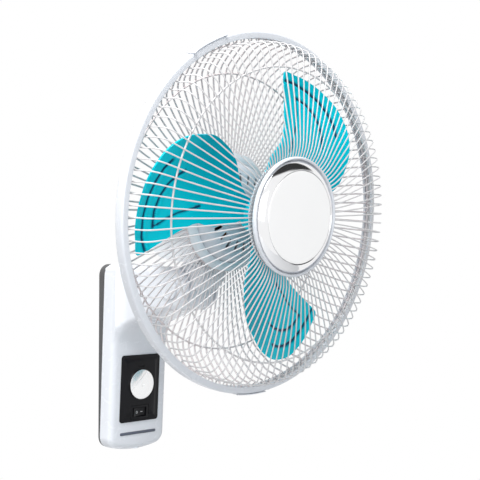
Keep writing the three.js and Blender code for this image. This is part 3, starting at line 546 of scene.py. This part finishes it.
def set_lamps():
    for name, spot, side, power, colour in LAMPS:
        bpy.ops.object.light_add(type="AREA", location=spot)
        lamp = bpy.context.object
        lamp.name = name
        lamp.data.size = side
        lamp.data.energy = power
        lamp.data.color = colour
        aim = Vector(LAMP_AIM) - Vector(spot)
        lamp.rotation_euler = aim.to_track_quat("-Z", "Y").to_euler()


set_camera()
set_floor()
set_world()
set_lamps()


# ------------------------------------------------------------------ guards

# Radial wires: how many, how thick, and where the first one stands, in degrees clockwise from up
# as seen from the front.
FRONT_WIRES, FRONT_WIRE, FRONT_FIRST = 102, 1.7, -79.1
REAR_WIRES, REAR_WIRE, REAR_FIRST = 105, 2.2, -74.45

# Ring wires: the thick one at each guard's rim, inside the hoop, and the one across its face.
RIM_RADIUS, RIM_WIRE = 212.4, 3.9
FACE_RING_WIRE = 2.2

# The hoop's clip and clasp: where their middles stand, in radians clockwise from up, and how far
# they reach to each side.
CLIP_AT, CLIP_HALF = math.radians(-30), 0.13
CLASP_AT, CLASP_HALF = math.pi, 0.112
CLIP_RADIUS = 218

CAP_STEPS = 120


def wire_round(name, places, thickness):
    """A drawn edge chain becomes a round wire."""
    wire = draw(name, places)
    take(wire)
    bpy.ops.object.convert(target="CURVE")
    wire.data.bevel_depth = thickness / 2 * MM
    wire.data.bevel_resolution = 1
    wire.data.use_fill_caps = True
    bpy.ops.object.convert(target="MESH")
    return weld(bpy.context.object)


def spun_wires(name, profile, count, first, thickness):
    """One radial wire, made once and repeated round the fan's axis by spin."""
    wire = wire_round(name, [(0, -forward, radius) for radius, forward in profile], thickness)
    edit(wire)
    swivel("Y", -math.radians(first))
    bpy.ops.mesh.spin(steps=count - 1, dupli=True, angle=TURN * (count - 1) / count,
                      center=(0, 0, 0), axis=(0, 1, 0))
    bpy.ops.mesh.select_all(action="SELECT")
    bpy.ops.mesh.normals_make_consistent(inside=False)
    leave_edit()
    return wire


def ring_wire(radius, forward, thickness, steps=144):
    half, sides = thickness / 2, 8
    section = []
    for k in range(sides):
        angle = TURN * k / sides
        section.append((radius + half * math.cos(angle), forward + half * math.sin(angle)))
    return turned("ring wire", section, steps)


def make_front_guard():
    profile = [(RIM_RADIUS, -4.4), (208, -4.6), (205.6, -3.6), (204.8, -1), (204.6, 9),
               (204, 16.5), (202, 21.8), (197.5, 25.6), (190, 28.2), (174.6, 31.2),
               (138, 38.3), (102, 44.3), (92, 45.9), (83, 46.4), (74, 45.1), (66.5, 42.8),
               (61.5, 41)]
    wires = spun_wires("front wires", profile, FRONT_WIRES, FRONT_FIRST, FRONT_WIRE)
    guard = join("wire_guard_front", wires, ring_wire(RIM_RADIUS, -4.4, RIM_WIRE),
                 ring_wire(174.6, 29.4, FACE_RING_WIRE), ring_wire(62, 41, 2.4, steps=72))
    fit(on_head(guard), "fan_head", ENAMEL, "front_guard", angle=60)


def make_rear_guard():
    profile = [(RIM_RADIUS, -9.2), (208, -9.4), (205.6, -10.4), (204.6, -16), (202.8, -22.5),
               (199.5, -28.6), (188, -42), (181, -49.6), (176, -53.2), (168, -56.6),
               (140, -60.2), (100, -61.4), (67, -61.8)]
    wires = spun_wires("rear wires", profile, REAR_WIRES, REAR_FIRST, REAR_WIRE)
    guard = join("wire_guard_rear", wires, ring_wire(RIM_RADIUS, -8.8, RIM_WIRE),
                 ring_wire(170, -54.4, FACE_RING_WIRE), ring_wire(68, -61.6, 2.4, steps=72),
                 ring_wire(73.5, -60.2, 2.0, steps=72))
    fit(on_head(guard), "fan_head", REAR_ENAMEL, "rear_guard", angle=60)


def arc_saddle(name, section, centre, half, steps):
    """A short length of a turned section, closed at both ends."""
    strip = draw(name, [(0, -forward, radius) for radius, forward in section], close=True)
    swivel("Y", -(centre + half))
    bpy.ops.mesh.spin(steps=steps, angle=2 * half, center=(0, 0, 0), axis=(0, 1, 0))
    bpy.ops.mesh.select_all(action="DESELECT")
    bpy.ops.mesh.select_mode(type="VERT")
    bpy.ops.mesh.select_non_manifold()
    bpy.ops.mesh.fill_holes(sides=0)
    return weld(strip)


def make_hoop():
    profile = [(208.8, -0.5), (209.2, -0.1), (214.9, 0), (216.1, -0.3), (216.8, -1.1),
               (217, -2.2), (217.05, -6.6), (217, -11), (216.8, -12.1), (216.1, -12.9),
               (214.9, -13.2),
               (209.2, -13.1), (208.8, -12.7), (208.8, -12.1), (209.2, -11.8), (214.6, -11.8),
               (215.4, -11.2), (215.5, -6.6), (215.4, -2), (214.6, -1.4), (209.2, -1.4),
               (208.8, -1.1)]
    hoop = turned("hoop_channel", profile, 180)
    fit(on_head(hoop), "fan_head", WHITE, "hoop", angle=40)

    clip_section = [(217.3, 0.5), (218.4, 0.2), (218.8, -0.6), (218.8, -12.6), (218.4, -13.4),
                    (217.3, -13.7)]
    clip = arc_saddle("hoop_saddle", clip_section, CLIP_AT, CLIP_HALF, 20)
    edit(clip)
    for side in (-1, 1):
        end = CLIP_AT + side * CLIP_HALF
        spot = Vector((CLIP_RADIUS * math.sin(end), -6.6, CLIP_RADIUS * math.cos(end)))
        pick("VERT", lambda at: abs(at.x - spot.x) + abs(at.z - spot.z) < 4)
        bpy.ops.transform.resize(value=(1, 0.72, 1), center_override=spot * MM)
    leave_edit()
    fit(on_head(clip), "fan_head", WHITE, "hoop_clip", angle=40)

    clasp_section = [(217.3, 0.4), (218.2, 0.1), (218.5, -0.7), (218.5, -12.5), (218.2, -13.3),
                     (217.3, -13.6)]
    clasp = arc_saddle("hoop_strap_end", clasp_section, CLASP_AT, CLASP_HALF, 18)
    edit(clasp)
    pick("VERT", lambda at: at.x < -23.5 and at.y > 6)
    shift(4.5, 0, 0)
    leave_edit()
    fit(on_head(clasp), "fan_head", WHITE, "hoop_clasp", angle=40)


def make_cap():
    rim = turned("centre_rim", [
        (60.5, 46.4), (60.5, 45.6), (63.2, 44.9), (65.6, 44.9), (68.9, 46.4), (70, 47.4),
        (70.5, 48.6), (70.6, 50), (70.4, 51.3), (69.8, 52.3), (69, 52.8), (68.2, 52.8),
        (67.5, 52.2), (67.3, 51), (67.3, 46.4)], CAP_STEPS)
    fit(on_head(rim), "fan_head", WHITE, "cap_rim", angle=50)

    bevel = turned("centre_bevel", [
        (55, 50.4), (60, 46.9), (65.4, 46.7), (65.9, 47.2), (66, 49.4), (65.7, 50.6),
        (64.8, 51.9), (63, 53.6), (60.6, 55.4), (58, 56.9), (55.6, 58), (55, 57.6)], CAP_STEPS)
    fit(on_head(bevel), "fan_head", CHROME, "cap_bevel", angle=50)

    disc = turned("centre_disc", [
        (0, 51.2), (54, 51.2), (54.6, 51.8), (54.6, 57.4), (54.3, 57.9), (53.6, 58.2),
        (52.4, 58.4), (50, 58.6), (44, 58.95), (34, 59.4), (22, 59.7), (11, 59.9), (0, 60)],
        CAP_STEPS, close=False)
    fit(on_head(disc), "fan_head", PEARL, "cap_disc", angle=30)


make_front_guard()
make_rear_guard()
make_hoop()
make_cap()


# ------------------------------------------------------------------ blades

# The two long edges of a blade that points up, as (out from the fan's axis, clockwise) places.
LEADING = [(14, -12), (38, -30), (50, -35), (60, -41), (73, -44), (86, -47), (98, -56),
           (111, -70), (126, -88), (137, -101.5), (141, -106.5), (145, -109.8)]
TRAILING = [(14, 12), (34, 14), (52, 23), (70, 37), (86, 44), (100, 46.5), (121, 47), (139, 40),
            (157, 30), (170, 17), (179, 1), (183, -17), (183.5, -35), (180, -52), (174.5, -69),
            (166, -86), (157, -98), (151.5, -106), (148.5, -109), (145, -109.8)]
# Its pressed lines: places, height forward, half width.
PRESSED = [
    ([(140, -101), (151, -89.5), (161.6, -70), (168, -50), (169.5, -32), (167.5, -15),
      (162, -2)], -1.7, 2.1),
    ([(137, -98), (147, -88), (157.5, -70), (164, -51), (165.5, -33), (163.5, -16),
      (158, -4)], 0.9, 1.9),
    ([(142, -74), (150, -58), (152.5, -41), (150, -26), (144, -13), (136, -3)], -1.5, 2.0),
    ([(138.5, -73), (146, -58), (148.5, -42), (146, -27), (140.5, -15), (133, -6)], 0.7, 1.8),
    ([(140, -72), (130, -58), (119, -47), (104, -36), (92, -28)], -1.3, 2.0),
    ([(137, -66), (126, -52.5), (115, -42.5), (101, -32)], 0.7, 1.8)]


def press(along, across):
    """How far forward the pressed lines lift a place on the blade."""
    lift = 0.0
    for line, size, half in PRESSED:
        near = math.inf
        for (x0, y0), (x1, y1) in zip(line, line[1:]):
            dx, dy = x1 - x0, y1 - y0
            t = ((along - x0) * dx + (across - y0) * dy) / (dx * dx + dy * dy)
            t = min(max(t, 0), 1)
            near = min(near, (along - x0 - t * dx) ** 2 + (across - y0 - t * dy) ** 2)
        if near < 16 * half * half:
            lift += size * math.exp(-near / (half * half))
    return lift


BLADE_ROWS, BLADE_COLUMNS = 136, 84
BLADES, FIRST_BLADE = 3, 50  # the first stands this many degrees clockwise from up


def make_blades():
    leading = curve_through(LEADING, BLADE_ROWS + 1)
    trailing = curve_through(TRAILING, BLADE_ROWS + 1)
    take()
    bpy.ops.mesh.primitive_grid_add(x_subdivisions=BLADE_COLUMNS, y_subdivisions=BLADE_ROWS,
                                    size=1)
    blade = bpy.context.object
    blade.name = "blade"
    widest = max((b - a).length for a, b in zip(leading, trailing))
    # Painted shade, kept on each corner: the teal darkens in the pressed lines and toward the
    # broad lobe.
    painted_shade = blade.data.attributes.new("painted_shade", "FLOAT", "POINT")
    for corner in blade.data.vertices:
        row = round((corner.co.y + 0.5) * BLADE_ROWS)
        chord = corner.co.x + 0.5
        start, end = leading[row], trailing[row]
        spot = start.lerp(end, chord)
        pressed = press(spot.x, spot.y)
        # Painted shade toward the broad lobe, and more of it deep in the pressed lines.
        lobe_shade = min(max((spot.y + 45) / 70, 0), 1) * min(max((178 - spot.x) / 50, 0), 1)
        painted_shade.data[corner.index].value = min(max(-pressed / 0.8, 0.42 * lobe_shade), 1)
        # A twisted plane, bowed back across the blade's width.
        reach, side = spot.x / 100 - 1, spot.y / 100
        bow = min((end - start).length / (0.6 * widest), 1)
        forward = (-3.5 + 11.6 * reach + 19.2 * side + 4.9 * reach * side
                   - 5 * bow * (1 - (2 * chord - 1) ** 2) + pressed)
        corner.co = mm(spot.y, -forward, spot.x)
    edit(blade)
    bpy.ops.mesh.remove_doubles(threshold=0.05 * MM)
    bpy.ops.mesh.normals_make_consistent(inside=False)
    leave_edit()
    use(blade, "SOLIDIFY", thickness=2.0 * MM, offset=0.0)
    soften(blade, 0.6, 2, above=60)
    blades = [copy_swivelled(blade, "Y", -math.radians(FIRST_BLADE + 360 / BLADES * k))
              for k in range(BLADES)]
    bpy.data.objects.remove(blade, do_unlink=True)
    hub = turned("hub", [
        (4.4, -22), (8, -22), (8, -18), (18, -18), (18, -21.4), (18.4, -22), (20.4, -22),
        (21, -21.4), (21, 1.5), (20.4, 3.4), (18.8, 4.7), (16.5, 5), (4.4, 5)], 72)
    rotor = join("three_blades", *blades, hub)
    fit(on_head(rotor), "rotor", TEAL, "blade_rotor", angle=40)


def make_nut():
    nut = turned("blade_hand_nut", [
        (0, 19), (5, 18.9), (7.6, 18.2), (9, 17), (11.6, 13.2), (12, 12), (12, 6), (11.4, 5.4),
        (4.4, 5.4), (4.4, 14.4), (0, 14.4)], 36, close=False)
    edit(nut)
    pick("FACE", lambda at, normal: 6.2 < -at.y < 11.8 and math.hypot(at.x, at.z) > 11.5
         and round(math.degrees(math.atan2(at.x, at.z)) // 10) % 2 == 0)
    bpy.ops.mesh.inset(thickness=0.15 * MM, depth=-0.7 * MM, use_individual=True)
    weld(nut)
    fit(on_head(nut), "rotor", WHITE, "blade_nut", angle=30)


make_blades()
make_nut()


# ------------------------------------------------------------------ motor housing

WALL = 2.4
REAR_SLOTS, FRONT_VENTS = 5, 20


def swing_bowl(name, less):
    """The flat bowl about the swing axis that the rear cover grows into, cut off beside and in
    front; less is how much smaller it is all round."""
    profile = [(0, -65.3 + less), (45.5 - less / 2, -65.3 + less),
               (50 - less / 2, -64.9 + less), (58 - less, -63 + less),
               (62.6 - less, -60.4 + less), (66 - less, -57 + less / 2), (68 - less, -53),
               (69 - less, -48), (69 - less, -20), (0, -20)]
    piece = draw(name, [(radius, 0, up) for radius, up in profile])
    bpy.ops.mesh.spin(steps=96, angle=TURN, center=(0, 0, 0), axis=(0, 0, 1))
    bpy.ops.mesh.select_all(action="SELECT")
    shift(0, SWING_AXIS, 0)
    weld(piece)
    room = block("room", (2 * (47 - less), 110, 60), (0, 121.5 + less, -45))
    if not less:
        edit(room)
        pick("EDGE", lambda a, b: abs(a.x - b.x) < 0.1 and abs(a.y - b.y) < 0.1 and a.y < 70)
        bpy.ops.mesh.bevel(offset=5 * MM, segments=5)
        leave_edit()
    return combine(piece, room, "INTERSECT")


def make_motor():
    dome = turned("motor_shell_rear", [
        (0, -189), (14, -188.3), (24, -187), (33, -184), (42, -179), (49.5, -172), (55, -164),
        (58.6, -154), (60.8, -143), (61.8, -130), (62, -118), (62, -62), (61.6, -60.5),
        (0, -60.5)], 96, close=False)
    inside = turned("inside", [
        (0, -185.4), (23.4, -184.4), (40.5, -176.6), (52.8, -162), (58, -142), (59.6, -118),
        (59.6, -50), (0, -50)], 72, close=False)
    boss = rod("boss", 19, 12, (0, SWING_AXIS, -55.3), "Z", 58)
    hollow = carve(swing_bowl("bowl hollow", WALL), boss)
    cover = combine(dome, swing_bowl("bowl", 0), "UNION")
    slots = []
    for k in range(REAR_SLOTS):
        slot = soften(block("slot", (16, 50, 3.2), (62, 125, 0)), 1.4, 3)
        slots.append(swivelled(slot, "Y", math.pi * (0.22 + 0.14 * k)))
    close_gaps(carve(cover, inside, hollow, *slots))
    fit(on_head(cover), "fan_head", MOTOR_WHITE, "motor_rear_cover", angle=35)

    front = turned("motor_shell_front", [
        (59.6, -60), (62, -60), (62, -55), (61.4, -51.5), (59.4, -47), (56, -43), (51.5, -40),
        (46, -38), (38, -36.5), (26, -35.6), (15, -35), (14, -34), (14, -28), (13.2, -27),
        (6, -27), (6, -37.4), (26, -38), (37.5, -38.9), (45, -40.2), (52, -43.4), (57, -48),
        (59.6, -54.5)], 96)
    vents = []
    for k in range(FRONT_VENTS):
        vent = soften(block("vent", (12, 30, 4.4), (43 if k % 2 else 41, 42, 0)), 1.5, 3)
        vents.append(swivelled(vent, "Y", TURN * (k + 0.5) / FRONT_VENTS))
    carve(front, *vents)
    fit(on_head(front), "fan_head", GREY, "motor_front_cover", angle=35)

    clamp = turned("guard_clamp_ring", [
        (62.6, -56), (66, -56), (66, -59.5), (73.4, -59.5), (74, -59), (74, -57.9),
        (73.4, -57.2), (68.6, -54), (67.6, -53.5), (62.6, -53.5)], 96)
    edit(clamp)
    pick("FACE", lambda at, normal: math.hypot(at.x, at.z) > 73.6
         and round(math.degrees(math.atan2(at.x, at.z)) // 15) % 2 == 0)
    bpy.ops.mesh.inset(thickness=0.1 * MM, depth=-0.5 * MM)
    leave_edit()
    fit(on_head(clamp), "fan_head", MOTOR_WHITE, "guard_ring", angle=35)


make_motor()


# ------------------------------------------------------------------ neck

def side_form(name, outline, half):
    """A side outline of (y, z) points pushed across from -half to half."""
    return pushed(name, [(-half, y, z) for y, z in outline], (2 * half, 0, 0))


def arc(centre, radius, start, end, steps):
    """Points on an arc in a side or front view; angles in degrees."""
    return [(centre[0] + radius * math.cos(math.radians(start + (end - start) * k / steps)),
             centre[1] + radius * math.sin(math.radians(start + (end - start) * k / steps)))
            for k in range(steps + 1)]


def bend(start, control, end, steps):
    """Points on a curve drawn toward the control place; the start itself is left out."""
    return [((1 - t) ** 2 * start[0] + 2 * t * (1 - t) * control[0] + t * t * end[0],
             (1 - t) ** 2 * start[1] + 2 * t * (1 - t) * control[1] + t * t * end[1])
            for t in (k / steps for k in range(1, steps + 1))]


BOLT_HOLE = 4.3


def rim_bevel(piece, width, segments, test=None):
    """Rounds the edges that lie in the two side planes of a form pushed across."""
    edit(piece)
    pick("EDGE", lambda a, b: abs(a.x - b.x) < 0.1 and (test is None or test(a, b)))
    bpy.ops.mesh.bevel(offset=width * MM, segments=segments, profile=0.5, clamp_overlap=False)
    leave_edit()
    return piece


def make_neck():
    # The tilt axis again, in the level head's own frame.
    barrel_y, barrel_z = 125.5, -102.83
    outline = [(118, -71.7), (79.5, -71.7), (78.2, -75.5), (78.6, -81), (81, -87), (85.5, -93),
               (92, -98.4), (99, -103.2), (106, -107.8), (113, -112.6), (118, -117),
               (126, -110)]
    wedge = rim_bevel(side_form("neck_shell", outline, 20.7), 2, 4)
    barrel = rod("barrel", 27.4, 21, (0, barrel_y, barrel_z), "X", 96)
    combine(wedge, soften(barrel, 1.6, 3), "UNION")
    hollow = side_form("hollow", [(116, -60), (81.6, -60), (81.6, -82), (86, -89.5),
                                  (104, -101.5), (116, -112), (122, -108)], 18.2)
    bore = rod("bore", BOLT_HOLE, 40, (0, barrel_y, barrel_z), "X", 32)
    inside = rod("inside", 24.6, 18.25, (0, barrel_y, barrel_z), "X", 72)
    carve(wedge, hollow, inside, bore)
    fit(on_head(wedge), "neck", WHITE, "neck_body", angle=35)


make_neck()


# ------------------------------------------------------------------ base and arm

BASE_HALF, BASE_LOW, BASE_CORNER = 48, -120, 16
ARM_HALF = 33
# Where the arm is cut across before it is flared, closer together toward the base.
ARM_CUTS = (-31, -33, -35, -37, -39, -41.5, -44.5, -48, -52, -60, -72, -86, -100)
SCREWS = ((-38, 104), (38, 104), (-36, -96), (36, -96))
PLATE_GAP = 0.3


def base_outline(inset):
    """The base from the front, with rounded corners and a bowed foot."""
    half, top, low = BASE_HALF - inset, SHELL_TOP - inset, BASE_LOW + inset
    corner = max(BASE_CORNER - inset, 1)
    points = arc((half - corner, top - corner), corner, 0, 90, 10)
    points += arc((corner - half, top - corner), corner, 90, 180, 10)
    points += arc((corner - half, low + corner), corner, 180, 256, 8)
    start = points[-1]
    points += bend(start, (0, low - 7.5), (-start[0], start[1]), 16)
    points += arc((half - corner, low + corner), corner, 284, 360, 8)[1:]
    return points


def base_block(name, inset, rear, rounding):
    """The base's outline pushed forward, its front rim rounded, its face and its rear leant."""
    length = FACE_TOP - inset + rear
    piece = pushed(name, [(x, rear, z) for x, z in base_outline(inset)], (0, -length, 0))
    edit(piece)
    pick("EDGE", lambda a, b: a.y < rear - length + 0.1 and b.y < rear - length + 0.1)
    bpy.ops.mesh.bevel(offset=rounding * MM, segments=6, profile=0.5, clamp_overlap=False)
    leave_edit()
    for corner in piece.data.vertices:
        share = (rear - corner.co.y / MM) / length
        start = back_depth(corner.co.z / MM) - BACK_TOP - rear
        front = face_depth(corner.co.z / MM) - inset
        corner.co.y = -(start + share * (front - start)) * MM
    return piece


def make_arm():
    """The arm in one piece, not yet forked, wider toward the base and flared where they meet."""
    y0, z0 = PIVOT
    outline = [(-14, 125)] + arc((y0, z0), 28, 90, 280.8, 40)
    outline += bend(outline[-1], (-80, 58), (-50, 46), 14)
    outline += bend(outline[-1], (-35, 40), (-32.1, 18), 8)
    outline += [(-31.2, 8), (-14, 8)]
    arm = side_form("arm", outline, ARM_HALF)
    rim_bevel(arm, 8, 6, lambda a, b: (a.y + b.y) / 2 < -14.5)
    edit(arm)
    for y in ARM_CUTS:
        bpy.ops.mesh.select_all(action="SELECT")
        bpy.ops.mesh.bisect(plane_co=mm(0, y, 0), plane_no=(0, 1, 0))
    leave_edit()
    widest = BASE_HALF - 0.4
    for corner in arm.data.vertices:
        at = corner.co / MM
        share = (at.y - y0) / -y0
        near = min(max((at.y + 50) / 14, 0), 1)
        flare = 9 * (1 - math.sqrt(max(1 - near * near, 0)))
        wide = 1 + 0.26 * share + flare / ARM_HALF
        corner.co = mm(min(max(at.x * wide, -widest), widest), at.y, at.z)
    return arm


def make_base():
    shell = combine(base_block("wall_base", 0, -BACK_TOP - PLATE_GAP, 8), make_arm(), "UNION")
    hollow = base_block("hollow", WALL, -8, 6)
    arm_hollow = side_form("arm hollow", [(-8, 118), (-92, 115), (-92, 70), (-46, 52),
                                          (-8, 42)], 28.5)
    fork = soften(rod("fork", 30, 24, (0, *PIVOT), "X", 128), 1.2, 2)
    bolt_hole = rod("bolt hole", BOLT_HOLE, 60, (0, *PIVOT), "X", 32)
    seats = [rod("seat", 14.4, 14, (side * 46, *PIVOT), "X", 72) for side in (-1, 1)]
    window = on_panel(block("window", (61.5, 40, 85.5), (0, 0, 0)))
    bar_slot = on_panel(soften(block("bar slot", (62, 40, 4), (0, 0, BAR_UP)), 1.7, 4, above=60))
    inlet = rod("inlet", 6.3, 10, (0, -17, -122), "Z", 32)
    carve(shell, hollow, arm_hollow, fork, bolt_hole, *seats, window, bar_slot, inlet)
    fit(shell, "base", WHITE, "base_shell", angle=30)


def make_back_plate():
    plate = pushed("rear_plate", [(x, 0, z) for x, z in base_outline(0.5)], (0, -BACK_TOP, 0))
    soften(plate, 0.4, 2, above=60)
    for corner in plate.data.vertices:
        corner.co.y *= (back_depth(corner.co.z / MM) - PLATE_GAP) / BACK_TOP
    pocket = block("pocket", (52.6, 6.6, 92.6), (0, 0, 0))
    inner = pushed("inner", [(x, -6, z) for x, z in base_outline(4.5)], (0, -6, 0))
    holes = []
    for x, z in SCREWS:
        holes += [rod("hole", 2.4, 14, (x, -5, z), "Y", 24),
                  rod("sink", 4.6, 3.5, (x, 0, z), "Y", 24)]
    carve(plate, pocket, inner, *holes)
    fit(plate, "base", DARK, "back_plate", angle=30)


def rounded_rectangle(width, height, corner):
    x, z, steps = width / 2 - corner, height / 2 - corner, 6
    return (arc((x, z), corner, 0, 90, steps) + arc((-x, z), corner, 90, 180, steps)
            + arc((-x, -z), corner, 180, 270, steps) + arc((x, -z), corner, 270, 360, steps))


def plate_of(name, width, height, corner, rear, front):
    """A rounded rectangle facing the front, from depth rear to front."""
    return pushed(name, [(x, -rear, z) for x, z in rounded_rectangle(width, height, corner)],
                  (0, rear - front, 0))


def stacked(name, rings):
    """A front-facing outline grown from ring to ring, each its (x, z) places and how far
    forward it stands."""
    before, rear = rings[0]
    piece = draw(name, [(x, -rear, z) for x, z in before], fill=True)
    for ring, forward in rings[1:]:
        bpy.ops.mesh.extrude_region_move(TRANSFORM_OT_translate={"value": mm(0, 0, 0)})
        leave_edit()
        for corner in piece.data.vertices:
            if corner.select:
                at = corner.co / MM
                near = min(range(len(ring)), key=lambda k: math.hypot(at.x - before[k][0],
                                                                     at.z - before[k][1]))
                corner.co = mm(ring[near][0], -forward, ring[near][1])
        bpy.ops.object.mode_set(mode="EDIT")
        before = ring
    return weld(piece)


def make_panel():
    panel = stacked("switch_panel", [
        (rounded_rectangle(60.5, 84.5, 2), -3.5), (rounded_rectangle(60.5, 84.5, 2), 0.3),
        (rounded_rectangle(66.5, 90.5, 4), 0.3), (rounded_rectangle(66.5, 90.5, 4), 0.9),
        (rounded_rectangle(66.1, 90.1, 3.8), 1.15), (rounded_rectangle(65.3, 89.3, 3.4), 1.25),
        (rounded_rectangle(64.9, 88.9, 3.2), 1.05), (rounded_rectangle(64.1, 88.1, 3), 1.05),
        (rounded_rectangle(52.2, 76.2, 2.6), 1.5), (rounded_rectangle(51.4, 75.4, 2.4), 1.75),
        (rounded_rectangle(50.2, 74.2, 2.2), 2.0)])
    shaft_hole = rod("shaft hole", 4.3, 12, (0, 0, DIAL_UP), "Y", 32)
    rocker_hole = block("rocker hole", (31.1, 20, 19.1), (0, 0, ROCKER_UP))
    pointer = soften(block("pointer", (11.5, 4, 1.6), (0, -2.8, 29.5)), 0.6, 2, above=60)
    close_gaps(carve(panel, shaft_hole, rocker_hole, pointer))
    fit(on_panel(panel), "base", BLACK, "control_panel", angle=30)


def make_dial():
    knob = turned("speed_dial", [
        (0, 2.3), (18.2, 2.3), (18.6, 2.6), (19.2, 3.8), (20, 4.7), (20, 5.3), (19.7, 5.8),
        (19.1, 6.1), (18, 6.2), (12, 6.4), (2.6, 6.6), (2.2, 6.3), (0, 6.25)], 96, close=False)
    # The slanted facet across the dial's upper left, and the fine step at its edge.
    slant, across = 0.2, math.pi / 4
    facet = swivelled(block("facet", (60, 10, 20), (0, -5, 10)), "X", slant)
    facet = swivelled(moved(facet, 0, -6.3, 8), "Y", across)
    edge = swivelled(block("facet edge", (50, 2, 0.8), (0, -6.2, 8)), "Y", across)
    soften(carve(knob, facet, edge), 0.3, 2, above=15)
    moved(knob, 0, 0, DIAL_UP)
    fit(on_panel(knob), "knob", PEARL, "speed_knob", angle=25)


def make_rocker():
    rim = soften(plate_of("rocker_surround", 30.5, 18.5, 1.2, -9, 1.8), 0.5, 2, above=60)
    carve(rim, block("well", (23.6, 30, 12.5), (0, 0, 0)))
    moved(rim, 0, 0, ROCKER_UP)
    fit(on_panel(rim), "base", BLACK, "rocker_frame", angle=35)

    # The key is hollow on top, so that its pressed end lies low, and carries a bar and a ring.
    half, tall = 11.25, 11.5
    mark_x, mark_y = 4.6, -0.6
    top = [(x, 0.5 + 1.1 * (x / half) ** 2) for x in [half * (k / 6 - 1) for k in range(13)]]
    outline = [(x, -y, 0) for x, y in top] + [(half - 2.5, 3, 0), (2.5 - half, 3, 0)]
    key = soften(pushed("rocker_key", outline, (0, 0, tall)), 0.5, 2, above=40)
    bar = block("bar mark", (3.6, 0.6, 1.1), (mark_x, mark_y, tall / 2))
    ring = carve(rod("ring mark", 1.8, 0.3, (-mark_x, mark_y, tall / 2), "Y", 24),
                 rod("ring middle", 1.1, 1, (-mark_x, mark_y, tall / 2), "Y", 24))
    for sign in (bar, ring):
        for corner in sign.data.attributes.new("mark", "FLOAT", "POINT").data:
            corner.value = 1.0
    key = swivelled(join("rocker_key", key, bar, ring), "Z", -math.radians(7))
    moved(key, 0, 0, ROCKER_UP - tall / 2)
    fit(on_panel(key), "rocker", BLACK, "rocker_button", angle=35)


def make_bar():
    bar = soften(plate_of("slate_strip", 61.4, 3.4, 1.6, -2.7, 0.7), 0.3, 2, above=60)
    moved(bar, 0, 0, BAR_UP)
    fit(on_panel(bar), "base", SLATE, "trim_bar", angle=35)


def make_pivot_caps():
    for side, word in ((-1, "left"), (1, "right")):
        cap = rod("pivot_cover_" + word, 14, 1.55, (side * 33.85, *PIVOT), "X", 72)
        edit(cap)
        pick("FACE", lambda at, normal: normal.x * side > 0.9)
        bpy.ops.mesh.inset(thickness=2.2 * MM, depth=0.0)
        bpy.ops.mesh.inset(thickness=0.8 * MM, depth=-0.7 * MM)
        bpy.ops.mesh.inset(thickness=0.7 * MM, depth=0.6 * MM)
        leave_edit()
        soften(cap, 0.5, 3, above=50)
        peg = rod("peg", 3.9, 1.2, (side * 31.4, *PIVOT), "X", 32)
        cap = join("pivot_cover_" + word, cap, peg)
        fit(cap, "base", WHITE, "pivot_cap_" + word, angle=35)


make_base()
make_back_plate()
make_panel()
make_dial()
make_rocker()
make_bar()
make_pivot_caps()


# ------------------------------------------------------------------ solids that stay

# Mostly hidden inside; each only gets its finish.

KEPT = {
    WHITE: ["neck_lid", "terminal_block", "cap_backing", "cord_gland"],
    DARK: ["speed_switch"],
    GREY: ["capacitor"],
    STEEL: ["wall_bracket", "switch_shaft", "base_screw_0", "base_screw_1", "base_screw_2",
            "base_screw_3", "tilt_bolt_left", "tilt_bolt_right", "tilt_washer_left",
            "tilt_washer_right", "swing_motor", "swing_crank", "swing_link", "motor_shaft",
            "bearing_rear", "bearing_front"],
    CORE: ["swing_post", "stator_core", "rotor_core"],
    COPPER: ["winding_rear", "winding_front"],
}
for look, names in KEPT.items():
    for name in names:
        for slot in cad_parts[name].material_slots:
            slot.material = look
